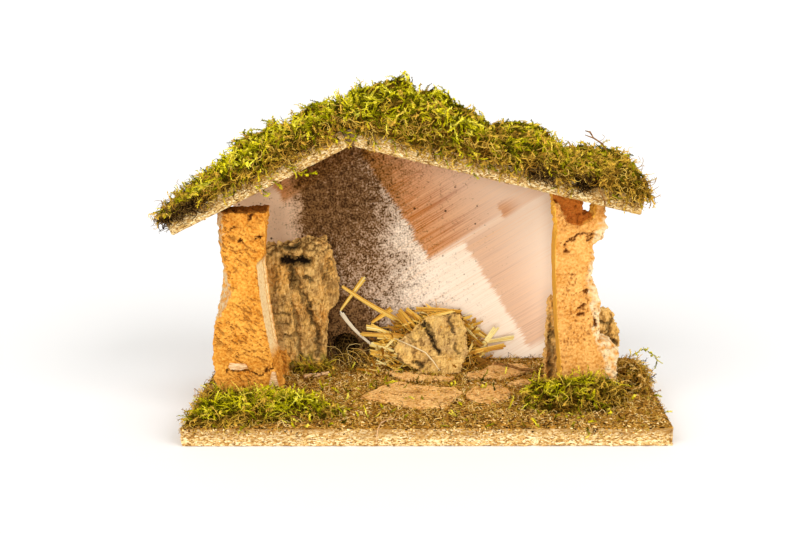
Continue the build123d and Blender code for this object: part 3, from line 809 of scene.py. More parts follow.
@dataclass(frozen=True)
class Mottled(Finish):
    """A surface in two tones with flecks of a third, such as earth, matted moss, dry wood or glue."""

    dark: str = "#5B3F1B"
    light: str = "#A87B3C"
    fleck: str = "#D8B26A"
    size: Spot = (2.5, 2.5, 2.5)
    fleck_share: float = 0.6
    metallic: float = 0.0

    def tune(self, surface: Node) -> None:
        """Metal is metal all over."""
        surface.inputs["Metallic"].default_value = self.metallic

    def paint(self, tree: Tree, spot: Socket) -> Paint:
        """Two clouds of one size, one for the tones and one for the flecks.

        Args:
            tree: the material's tree.
            spot: the place on the object.

        Returns:
            The colour socket and the height socket.
        """
        stretched = add(tree, MAPPING, {"Vector": spot, "Scale": tuple(map(repeats, self.size))})
        tones = add(tree, NOISE, {"Vector": stretched, "Scale": 1.0, "Detail": 5.0})
        share = add(tree, RANGE, {0: tones, 1: 0.36, 2: 0.64})
        colour = add(tree, MIX, {0: share, 1: self.dark, 2: self.light})
        flecks = add(tree, NOISE, {"Vector": stretched, "Scale": 1.7, "Detail": 2.0})
        lit = add(tree, RANGE, {0: flecks, 1: 0.57, 2: 0.64, 3: 0.0, 4: self.fleck_share})
        colour = add(tree, MIX, {0: lit, 1: colour, 2: self.fleck})
        return colour.outputs[0], tones.outputs[0]


class Surface(Enum):
    """The stable's finishes."""

    # Chipboard: a cut full of pale flakes, greyer and stained from above on the roof boards, where the darker
    # top is also painted shade under the moss
    BASE_BOARD = Chipboard("sawn chipboard, level", gap="#6B4420", stain="#9A6F35",
                           shades=("#8E622C", "#BE904C", "#D6AE6C", "#E6C88C", "#F6E0B0"))
    LEFT_BOARD = Chipboard("sawn chipboard, left slope", pitch=LEFT_PITCH)
    RIGHT_BOARD = Chipboard("sawn chipboard, right slope", pitch=-RIGHT_PITCH)
    # Whitewash: chalky and streaked, with warm wood showing through
    PANEL = Whitewash("brushed whitewash on plywood", roughness=0.9, relief=0.15)
    # Cork: warm, dull and crumbly, with dark pits and paler cuts
    LEFT_CORK = Cork("cut cork, orange", deep="#B86E1A", light="#E8A848", fresh="#FFE8B0", pit="#582C0A")
    RIGHT_CORK = Cork("cut cork, tan", deep="#BE7C30", light="#E6AE62", rind="#E0C89C", fresh="#F0B440")
    PATH_CORK = Cork("torn cork", deep="#CC8C3C", light="#F6C880", pit="#7C4C1A")
    # Bark: dusty ridges with pale broken edges, painted highlight on the ridge tops, and painted shade in the
    # grooves and black clefts
    SIDE_BARK = Bark("dry bark, ochre")
    MANGER_BARK = Bark("dry bark, grey", plate="#DAB05E", grey="#B8925A", edge="#F2CC7C", groove="#6E4E28",
                       warm="#C89A52", grain=(1.1, 1.1, 3.0), lines=(0.55, 0.5))
    # Moss: yellow-green tips over roots darkened by painted shade, straw-brown where it has dried
    MOSS = Tinted("dried moss sprigs", roughness=0.95, specular=0.05, painted_root_shade=0.16, dryness=0.92,
                  clumped=0.3, shades=("#4A4602", "#948E04", "#CABE0C", "#EEDE22", "#FFF658"),
                  dry_shades=("#7A4E10", "#E6B646"))
    DEAD_MOSS = Tinted("dead moss stems", roughness=0.95, specular=0.05, painted_root_shade=0.6,
                       shades=("#3E2406", "#8A5E16", "#C08E30", "#E6C05C"))
    # The mat under the sprigs is near black: its colour paints the shade between them
    MOSS_MAT = Mottled("matted moss", roughness=1.0, specular=0.0, dark="#241602", light="#54400C",
                       fleck="#80601A", size=(3.0, 3.0, 3.0))
    LITTER = Tinted("moss litter", roughness=0.95, specular=0.05, painted_root_shade=0.8,
                    shades=("#3A2206", "#8E621A", "#C69238", "#A88C24", "#E2B65C", "#F6D68C"))
    # Near-black fibres: dark roots, and painted shade in the panel's hole and under the moss at the eaves
    DARK_FIBRE = Tinted("dark moss fibres", roughness=1.0, specular=0.0, painted_root_shade=0.6,
                        shades=("#160D04", "#2C1B0A", "#4A3216", "#765A2E"))
    # Straw: smooth golden stalks with a soft shine, over a heap whose dark colour paints the shade inside it
    STRAW = Tinted("dry straw", roughness=0.5, specular=0.3, painted_root_shade=0.85,
                   shades=("#74480A", "#B47A16", "#DCA42C", "#F0C85A", "#FFEC9E"))
    PALE_STRAW = Tinted("bleached straw", roughness=0.5, specular=0.3, painted_root_shade=0.9,
                        shades=("#E2CC9C", "#F2E4C6"))
    # The heap's near-black browns are painted shade deep in the straw
    HEAP = Mottled("packed straw", dark="#241404", light="#5E3E12", fleck="#A07028", size=(1.2, 6.0, 1.2))
    # Earth: dull brown, mixed with pale crumbs of bark and straw
    CRUMBS = Tinted("earth crumbs", roughness=0.95, specular=0.05, painted_root_shade=0.75, clump=14.0, clumped=0.22,
                    shades=("#180C02", "#684010", "#D69A44", "#BA9236", "#F4CA7C", "#FFE2A4"))
    EARTH = Mottled("glued earth", roughness=1.0, specular=0.05, dark="#301A03", light="#BE8630",
                    fleck="#F8D080", size=(2.6, 2.6, 2.6))
    # Wood: split along its grain, or a twig with its brown skin
    DRY_WOOD = Mottled("dry split wood", dark="#B9834E", light="#E4BE8C", fleck="#F4DCB4",
                       size=(7.0, 2.0, 1.0))
    TWIG = Mottled("brown twig", dark="#5C3A18", light="#9A6A34", fleck="#C79A60", size=(3.0, 3.0, 1.0))
    # Glue: a tan bead, half glossy
    GLUE = Mottled("hot-melt glue", roughness=0.5, specular=0.4, dark="#74501F", light="#9C743A",
                   fleck="#BC9458", size=(3.0, 9.0, 3.0))
    # Steel: bright wire, whose drawing marks are drawn coarser than real so that they show
    STEEL = Mottled("drawn steel wire", roughness=0.35, specular=0.5, dark="#A9A9AB", light="#C8C8CA",
                    fleck="#DADADC", size=(0.6, 0.6, 0.6), metallic=1.0)


# Solids with a worn skin


@dataclass
class WornPiece:
    """A rigid piece that keeps its solid's shape and gets a rough skin."""

    node: str
    surface: Surface
    slot: str
    voxel: float = 0.8
    seed: int = 1
    # Widths of the finest grain and of the lumps, and how far each stands out
    grain: float = 2.0
    grain_height: float = 0.3
    lump: float = 6.0
    lump_height: float = 0.0

    def build(self) -> Piece:
        """Wrap the solid, roughen the skin and dress it.

        Returns:
            The finished piece.
        """
        piece = skin(self.node + "_skin", [self.node], self.voxel)
        points = read(piece.data, "co")
        normals = read(piece.data, "normal")
        depth, marks = self.relief(points, normals)
        write(piece.data, points + normals * depth[:, None])
        for name, values in marks.items():
            store(piece.data, name, np.clip(values, 0, 1))
        return settle(piece, self.surface, self.slot, (self.node,))

    def relief(self, points: Values, normals: Values) -> Relief:
        """Work out how far the skin stands out and what it marks.

        Args:
            points: places in millimetres.
            normals: outward directions.

        Returns:
            The height above the solid in millimetres, and the marks by name.
        """
        fine = cloud(points, self.grain, self.seed)
        lumps = cloud(points, self.lump, self.seed + 1) + 0.4 * fine
        return self.grain_height * fine + self.lump_height * lumps, {"pit": 0.3 * ramp(-fine, 0.2, 0.6)}


@dataclass
class WornBoard(WornPiece):
    """A chipboard with crumbled edges."""

    pitch: float = 0.0
    flake: Spot = (5.0, 5.0, 1.6)
    grit: float = 0.35
    # Width of the crumbled places on an edge, and how deep they go
    crumble: float = 5.0
    wear: float = 1.1
    chipped_corner: tuple[float, float] | None = None
    chip_radius: float = 7.0
    chip_depth: float = 2.2
    stain_patch: Spot = (14.0, 14.0, 5.0)
    stain: float = 0.75

    def relief(self, points: Values, normals: Values) -> Relief:
        """Grit on the sawn edges, and corners that have crumbled away.

        Args:
            points: places in millimetres.
            normals: outward directions.

        Returns:
            The height above the solid in millimetres, and the marks by name.
        """
        level = turned(points, self.pitch)
        facing = np.abs(turned(normals, self.pitch))
        sharp = 1 - facing.max(axis=1)
        sawn = 1 - facing[:, 2]
        flakes = cloud(level, self.flake, self.seed)
        crumbled = ramp(cloud(points, self.crumble, self.seed + 1), -0.2, 0.6)
        depth = self.grit * flakes * (0.35 + 0.65 * sawn) - self.wear * sharp * (0.4 + 2.2 * crumbled)
        if self.chipped_corner:
            away = np.linalg.norm(points[:, :2] - self.chipped_corner, axis=1)
            depth -= self.chip_depth * ramp(away, self.chip_radius, 0) * (normals[:, :2] ** 2).sum(axis=1)
        cover = ramp(np.abs(normals[:, 1]), 0.8, 0.95)
        # Darker towards the top: stains from above, and on the roof boards also painted shade under the moss
        share = (level[:, 2] - level[:, 2].min()) / np.ptp(level[:, 2])
        stained_and_shaded = ramp(share + 0.4 * cloud(points, self.stain_patch, self.seed + 2), 0.5, 1.05)
        return depth, {"cover": cover, "stain": self.stain * stained_and_shaded}


@dataclass
class CorkPost(WornPiece):
    """A cork post with a sawn front."""

    grain: float = 1.5
    grain_height: float = 0.4
    lump: float = 11.0
    lump_height: float = 0.7
    # Slanted pits on the front, and the width of the patches that have them
    pit_slant: float = 55.0
    pit_size: Spot = (1.1, 2.0, 4.0)
    pit_level: float = 0.1
    pit_depth: float = 0.9
    pit_patch: float = 24.0
    # How far the knots and cracks waver, and in waves of which width
    waver: tuple[float, float] = (2.4, 3.2)
    knots: Line = field(default_factory=list)
    knot_radius: float = 2.4
    cracks: list[Line] = field(default_factory=list)
    crack_width: float = 2.0
    crack_depth: float = 3.0
    saw_lines: list[Line] = field(default_factory=list)
    saw_width: float = 0.9
    saw_depth: float = 0.4
    # The cut side face: -1 left or 1 right, its lowest and highest place, and how far it is hewn back
    cut_side: int = 1
    cut_low: float = GROUND
    cut_high: float = 200.0
    hewn: float = 0.0
    # Height above which the post's end is ragged, and by how much
    end_height: float = 134.0
    ragged_end: float = 2.2
    # The foot's sides crumble below the first height, most below the second, and by how much
    crumbly_foot: Spot = (54.0, 34.0, 2.2)
    rind_edge: Line = field(default_factory=list)
    rind_side: int = -1
    rind_height: float = 1.4

    def relief(self, points: Values, normals: Values) -> Relief:
        """Grains and slanted pits on the front, lumps on the rind, and the knots, cracks and saw lines.

        Args:
            points: places in millimetres.
            normals: outward directions.

        Returns:
            The height above the solid in millimetres, and the marks by name.
        """
        height = points[:, 2]
        front = ramp(-normals[:, 1], 0.5, 0.85)
        grains = cloud(points, self.grain, self.seed)
        slanted = cloud(turned(points, self.pit_slant), self.pit_size, self.seed + 2)
        pits = front * ramp(slanted, self.pit_level, self.pit_level + 0.35)
        pits *= ramp(cloud(points, self.pit_patch, self.seed + 3), -0.4, 0.15)
        wavering = wavered(points, *self.waver, self.seed + 10)
        deep = self.cracked(wavering, grains) * ramp(-normals[:, 1], 0.1, 0.5)
        sawn = [crease(points, line, self.saw_width) for line in self.saw_lines]
        scored = front * deepest(sawn, len(points))
        fresh = ramp(self.cut_side * normals[:, 0], 0.3, 0.7)
        foot = ramp(height, self.cut_low - 4, self.cut_low + 4)
        fresh *= foot * ramp(height, self.cut_high, self.cut_high - 5)
        hollow = ramp(points[:, 1], -13.0, -9.0) * ramp(-normals[:, 1] + normals[:, 2], 0.2, 0.8)
        hollow *= ramp(height, 120.0, 130.0)
        rind = self.beyond(wavering, 1.5)
        rough = self.grain_height * grains
        foot_top, foot_full, foot_height = self.crumbly_foot
        crumbly = ramp(height, foot_top, foot_full) * (1 - front)
        rough += foot_height * crumbly * cloud(points, 5.0, self.seed + 7)
        rough += self.lump_height * cloud(points, self.lump, self.seed + 1) * (1 - 0.7 * front)
        rough += self.rind_height * rind * cloud(points, 4.5, self.seed + 5)
        depth = rough * (1 - 0.6 * fresh) - self.pit_depth * pits * (1 - fresh)
        depth -= self.crack_depth * deep + self.saw_depth * scored + self.hewn * fresh
        end = ramp(height, self.end_height - 6, self.end_height + 6)
        depth += self.ragged_end * end * (cloud(points, 4.5, self.seed + 8) - 0.15)
        # Painted shade: the tops of the post are darkened, as they lie in the roof's shadow
        top_shade = ramp(normals[:, 2], 0.5, 0.8) * ramp(height.max() - height, 12.0, 8.0)
        dark = 0.62 * pits * (1 - 0.8 * fresh) + ramp(deep, 0.1, 0.6) + 0.3 * scored + 0.8 * top_shade
        pale = fresh * (0.55 + 0.4 * ramp(grains, -0.4, 0.2))
        dusty = rind * ramp(cloud(points, 4.0, self.seed + 6), -0.5, 0.3)
        return depth, {"pit": dark, "pale": pale, "inside": 0.85 * hollow, "rind": dusty}

    def cracked(self, points: Values, grains: Values) -> Values:
        """Closeness to the knots and the cracks.

        Args:
            points: places in millimetres.
            grains: the grains' heights, which break the cracks up.

        Returns:
            One value for each point, 1 in the middle of a knot or crack.
        """
        knots = [crease(points, [(x - 0.8, z), (x + 0.8, z + 0.4)], self.knot_radius) for x, z in self.knots]
        broken = ramp(grains, -0.7, 0.1)
        cracks = [crease(points, line, self.crack_width) * broken for line in self.cracks]
        return deepest(knots + cracks, len(points))

    def beyond(self, points: Values, blur: float) -> Values:
        """Share of a place that lies on the rind's side of its edge, which is drawn from the top down.

        Args:
            points: places in millimetres.
            blur: width over which the rind starts.

        Returns:
            One value for each point.
        """
        places, heights = zip(*reversed(self.rind_edge))
        return ramp(self.rind_side * (points[:, 0] - np.interp(points[:, 2], heights, places)), 0, blur)


@dataclass
class BarkSlab(WornPiece):
    """A torn slab of outer bark with ridges, clefts and crumbled edges."""

    grain: float = 1.6
    grain_height: float = 0.45
    lump: float = 5.0
    lump_height: float = 0.4
    ridge: Spot = (7.0, 9.0, 40.0)
    ridge_height: float = 1.4
    wrinkle: Spot = (8.0, 8.0, 1.7)
    wrinkle_height: float = 0.4
    plate: Spot = (13.0, 13.0, 24.0)
    crack_depth: float = 0.8
    # How far the ridges and clefts waver, and in waves of which width, in long and in short waves
    waver: tuple[float, float] = (2.0, 6.0)
    shiver: tuple[float, float] = (0.9, 1.9)
    # Ribs as a line, its width and its height
    ribs: list[tuple[Line, float, float]] = field(default_factory=list)
    # Clefts as a line, its width, its depth and how black its painted shade shows
    clefts: list[tuple[Line, float, float, float]] = field(default_factory=list)
    # Height above which the slab is broken into chunks, and how far they stand out
    crumbly_top: float | None = None
    chunk: Spot = (8.0, 8.0, 6.0)
    chunk_height: float = 2.4
    green_foot: float | None = None
    torn: float = 1.4

    def relief(self, points: Values, normals: Values) -> Relief:
        """Upright ribs, cross wrinkles, cracked plates, and the clefts that show black as painted shade.

        Args:
            points: places in millimetres.
            normals: outward directions.

        Returns:
            The height above the solid in millimetres, and the marks by name.
        """
        front = ramp(-normals[:, 1], 0.0, 0.6)
        rim = ramp(np.abs(normals[:, 1]), 0.85, 0.4)
        lumps = cloud(points, self.lump, self.seed + 2)
        fine = cloud(points, self.grain, self.seed + 4)
        shiver, shiver_width = self.shiver
        wavering = wavered(points, *self.waver, self.seed + 10)
        wavering += shiver * cloud(points, shiver_width, self.seed + 20)[:, None]
        ridges = cloud(wavering, self.ridge, self.seed)
        wrinkles = cloud(wavering, self.wrinkle, self.seed + 1)
        cracks = ramp(cells(wavering, self.plate, self.seed), 0.12, 0.0) * ramp(lumps, -0.1, 0.4) * front
        near_ribs = [(crease(wavering, line, width), high) for line, width, high in self.ribs]
        raised = deepest([high * near * (2 - near) * front for near, high in near_ribs], len(points))
        open_face = front * ramp(fine, -0.9, -0.1)
        near_clefts = [(crease(wavering, line, width) * open_face, deep, painted_shade)
                       for line, width, deep, painted_shade in self.clefts]
        # Painted shade: the clefts are cut in and coloured near black
        cut = deepest([deep * np.sqrt(near) for near, deep, _ in near_clefts], len(points))
        black = deepest([painted_shade * ramp(near, 0.03, 0.45) for near, _, painted_shade in near_clefts], len(points))
        depth = self.ridge_height * ridges + self.wrinkle_height * wrinkles + self.lump_height * lumps
        depth += self.grain_height * fine + raised - cut - self.crack_depth * cracks
        depth += rim * self.torn * cloud(points, 3.2, self.seed + 7)
        grain = 0.7 * ridges + 0.4 * wrinkles + 0.5 * fine
        # Pale on the torn rim, and painted highlight on the ridge tops; painted shade in the hollows and
        # cracks
        pale = np.maximum(0.4 * rim, 0.6 * ramp(grain, 0.15, 0.55))
        groove = np.maximum(0.9 * ramp(-grain, 0.18, 0.55), 0.6 * cracks)
        if self.crumbly_top is not None:
            top = ramp(points[:, 2] + 3 * lumps, self.crumbly_top - 3, self.crumbly_top + 3)
            chunks = cells(wavering, self.chunk, self.seed + 5)
            depth += self.chunk_height * top * (ramp(chunks, 0.05, 0.45) - 0.5)
            pale = np.maximum(pale, 0.8 * top * ramp(fine, -0.4, 0.3))
            # Painted shade in the gaps between the chunks
            groove = np.maximum(groove * (1 - 0.5 * top), top * ramp(chunks, 0.22, 0.04))
        green = np.zeros(len(points))
        if self.green_foot is not None:
            green = 0.8 * ramp(points[:, 2], self.green_foot, GROUND + 8) * ramp(lumps, -0.3, 0.4)
        return depth, {"pale": pale, "groove": groove, "pit": black, "green": green}


@dataclass
class TornSlab(WornPiece):
    """A thin torn slab of cork that lies on the ground."""

    grain: float = 1.3
    lump: float = 9.0
    lump_height: float = 0.5
    pit: Spot = (2.6, 2.0, 2.0)
    pit_depth: float = 0.8
    # Width of the tears in the edge, and how deep they go
    tear: float = 5.0
    torn: float = 1.8

    def relief(self, points: Values, normals: Values) -> Relief:
        """Torn edges, a dished top and scattered pits.

        Args:
            points: places in millimetres.
            normals: outward directions.

        Returns:
            The height above the solid in millimetres, and the marks by name.
        """
        side = 1 - np.abs(normals[:, 2])
        pits = ramp(cloud(points, self.pit, self.seed), 0.12, 0.45)
        broad = cloud(points, self.lump, self.seed + 1)
        fine = cloud(points, self.grain, self.seed + 2)
        depth = self.grain_height * fine + self.lump_height * broad - self.pit_depth * pits
        depth += side * self.torn * cloud(points, self.tear, self.seed + 3)
        return depth, {"pit": 0.75 * pits + 0.3 * ramp(-broad, 0.1, 0.7), "pale": 0.6 * ramp(fine, 0.1, 0.6)}


# Bits that are scattered


# Direction that flat bits turn their broad side to
BROADSIDE = Vector((0.3, 1.0, 0.2))


def tube(line: list[Vector], radii: list[float], sides: int, flat: float = 1.0) -> Parts:
    """Wrap a line in a tube that narrows to its ends.

    Args:
        line: places along the middle.
        radii: radius at each place.
        sides: sides of the tube.
        flat: thickness as a share of the width.

    Returns:
        The points, the faces and each point's share of the way along.
    """
    points, faces, along = [], [], []
    last = len(line) - 1
    for index, middle in enumerate(line):
        ahead = (line[min(index + 1, last)] - line[max(index - 1, 0)]).normalized()
        across = ahead.cross(BROADSIDE).normalized()
        up = ahead.cross(across)
        for side in range(sides):
            angle = 2 * math.pi * side / sides
            offset = across * math.cos(angle) + up * math.sin(angle) * flat
            points.append(middle + offset * radii[index])
            along.append(index / last)
    for ring in range(last):
        first, second = ring * sides, (ring + 1) * sides
        for side in range(sides):
            after = (side + 1) % sides
            faces.append((first + side, first + after, second + after, second + side))
    faces.append(tuple(reversed(range(sides))))
    faces.append(tuple(range(last * sides, len(line) * sides)))
    return points, faces, along


@dataclass
class Bundle:
    """Bits gathered into one mesh, each with its own tint and dryness where it has them."""

    points: list[Vector] = field(default_factory=list)
    faces: list[tuple[int, ...]] = field(default_factory=list)
    along: list[float] = field(default_factory=list)
    marks: dict[str, list[float]] = field(default_factory=dict)

    def take(self, parts: Parts, **marks: float) -> None:
        """Add one bit.

        Args:
            parts: its points, faces and shares of the way along.
            marks: numbers by name that all its points share.
        """
        points, faces, along = parts
        self.faces += [tuple(corner + len(self.points) for corner in face) for face in faces]
        self.points += points
        self.along += along
        for name, value in marks.items():
            self.marks.setdefault(name, []).extend([value] * len(points))

    def mesh(self, name: str) -> Mesh:
        """Make the mesh and keep the marks on it.

        Args:
            name: the mesh's name.

        Returns:
            The mesh.
        """
        mesh = from_faces(name, (self.points, self.faces, self.along))
        for mark, values in self.marks.items():
            store(mesh, mark, np.array(values))
        return mesh


def blade(line: list[Vector], widths: tuple[float, float], draw: random.Random, count: int = 3,
          rings: int = 6) -> list[Parts]:
    """Lay slivers side by side along a line, so that a straw shows its fibres and ends ragged.

    Args:
        line: places along the middle.
        widths: width at the first place and at the last.
        draw: source of the slivers' ends.
        count: how many slivers lie side by side.
        rings: how many places each sliver passes through.

    Returns:
        The slivers.
    """
    ragged = 0.07
    overlap = 0.62
    wide, narrow = widths
    slivers = []
    for number in range(count):
        first = draw.uniform(0, ragged)
        last = 1 - draw.uniform(0, ragged)
        middle, radii = [], []
        for ring in range(rings):
            share = first + (last - first) * ring / (rings - 1)
            way = share * (len(line) - 1)
            start = min(int(way), len(line) - 2)
            ahead = line[start + 1] - line[start]
            width = (wide + (narrow - wide) * share) / count
            aside = ahead.cross(BROADSIDE).normalized() * (number - (count - 1) / 2) * width
            middle.append(line[start] + ahead * (way - start) + aside)
            radii.append(overlap * width)
        slivers.append(tube(middle, radii, 4, flat=0.5))
    return slivers


class Bit:
    """A small shape that is strewn many times."""

    def mesh(self, seed: int) -> Mesh:
        """Make one of it at the origin, shaped by its own seed.

        Args:
            seed: number that picks the shape.

        Returns:
            The mesh.
        """
        raise NotImplementedError


def meshes(bits: list[Bit], seed: int) -> list[Mesh]:
    """Make a mesh of each bit, with seeds that follow one another."""
    return [bit.mesh(seed + number) for number, bit in enumerate(bits)]


@dataclass(frozen=True)
class Sprig(Bit):
    """One plump moss sprig: a curling stem set all round with short leaves that point forwards."""

    length: float = 8.0
    stem: float = 0.5
    rings: int = 5
    leaves: int = 14
    leaf_length: float = 1.9
    leaf_width: float = 0.85
    curl: float = 1.4
    # Turn from one leaf to the next, and how far up the stem the first one sits
    leaf_turn: float = 2.4
    first_leaf: float = 0.08

    def parts(self, seed: int) -> Parts:
        """Lay out one sprig that stands on the origin.

        Args:
            seed: number that picks the shape.

        Returns:
            Its points, faces and shares of the way along.
        """
        draw = random.Random(seed)
        curl = draw.uniform(0.3, 1.4) * self.curl
        last = self.rings - 1
        line = [Vector()]
        for ring in range(1, self.rings):
            lean = curl * ring / last
            heading = Vector((math.sin(lean), draw.uniform(-0.25, 0.25), math.cos(lean)))
            line.append(line[-1] + heading * (self.length / last))
        radii = [self.stem * (1 - 0.7 * ring / last) for ring in range(self.rings)]
        points, faces, along = tube(line, radii, 3)
        for number in range(self.leaves):
            share = self.first_leaf + (1 - self.first_leaf) * number / (self.leaves - 1)
            ring = min(int(share * last), last - 1)
            step = line[ring + 1] - line[ring]
            root = line[ring] + step * (share * last - ring)
            ahead = step.normalized()
            around = Matrix.Rotation(self.leaf_turn * number + draw.uniform(-0.4, 0.4), 3, ahead)
            side = around @ ahead.orthogonal().normalized()
            out = (side + ahead * draw.uniform(0.7, 1.3)).normalized()
            size = self.leaf_length * (1.1 - 0.4 * share) * draw.uniform(0.75, 1.2)
            wide = ahead.cross(side) * self.leaf_width / 2
            middle = root + out * size * 0.45
            start = len(points)
            points += [root, middle + wide, root + out * size, middle - wide]
            along += [0.65 * share + further for further in (0.0, 0.2, 0.35, 0.2)]
            faces.append((start, start + 1, start + 2, start + 3))
        return points, faces, along

    def mesh(self, seed: int) -> Mesh:
        """Make one sprig that stands on the origin."""
        return from_faces("sprig", self.parts(seed))


@dataclass(frozen=True)
class Strand(Bit):
    """One curly fibre, such as a dead moss stem or a root."""

    length: float = 14.0
    radius: float = 0.3
    curl: float = 2.6
    turns: float = 1.2
    rings: int = 9
    # How much of the radius the tip has lost, and how much the curl shortens the fibre
    taper: float = 0.6
    shortening: float = 0.25

    def mesh(self, seed: int) -> Mesh:
        """Make one fibre that starts at the origin.

        Args:
            seed: number that picks the shape.

        Returns:
            The mesh.
        """
        draw = random.Random(seed)
        phase = draw.uniform(0, 6)
        turns = self.turns * draw.uniform(0.6, 1.4)
        line, radii = [], []
        for ring in range(self.rings):
            share = ring / (self.rings - 1)
            angle = phase + 2 * math.pi * turns * share
            swing = self.curl * share
            rise = self.length * share * (1 - self.shortening * share)
            line.append(Vector((swing * math.cos(angle), swing * math.sin(angle), rise)))
            radii.append(self.radius * (1 - self.taper * share))
        return from_faces("strand", tube(line, radii, 3))


@dataclass(frozen=True)
class Straw(Bit):
    """One flattened length of straw with a slight bend, narrower at one end."""

    length: float = 24.0
    width: float = 3.4
    bend: float = 1.8
    taper: float = 0.45

    def mesh(self, seed: int) -> Mesh:
        """Make one straw with its middle at the origin.

        Args:
            seed: number that picks the shape.

        Returns:
            The mesh.
        """
        draw = random.Random(seed)
        bow = draw.uniform(-1, 1) * self.bend
        shares = (-1, -0.5, 0, 0.5, 1)
        line = [Vector((bow * (1 - share ** 2), 0, self.length / 2 * share)) for share in shares]
        width = self.width * draw.uniform(0.5, 1.1)
        bundle = Bundle()
        for sliver in blade(line, (width, self.taper * width), draw, count=2, rings=4):
            bundle.take(sliver)
        return bundle.mesh("straw")


@dataclass(frozen=True)
class Crumb(Bit):
    """One crumb of earth or bark, or one sliver of wood."""

    size: Spot = (1.0, 0.8, 0.6)
    ragged: float = 0.35

    def mesh(self, seed: int) -> Mesh:
        """Make one irregular lump round the origin.

        Args:
            seed: number that picks the shape.

        Returns:
            The mesh.
        """
        draw = random.Random(seed)
        lump = bmesh.new()
        bmesh.ops.create_icosphere(lump, subdivisions=1, radius=0.5)
        points = []
        for vert in lump.verts:
            place_on_lump = Vector(share * size for share, size in zip(vert.co, self.size))
            points.append(place_on_lump * draw.uniform(1 - self.ragged, 1 + self.ragged))
        faces = [tuple(vert.index for vert in face.verts) for face in lump.faces]
        lump.free()
        return from_faces("crumb", (points, faces, [1.0] * len(points)))


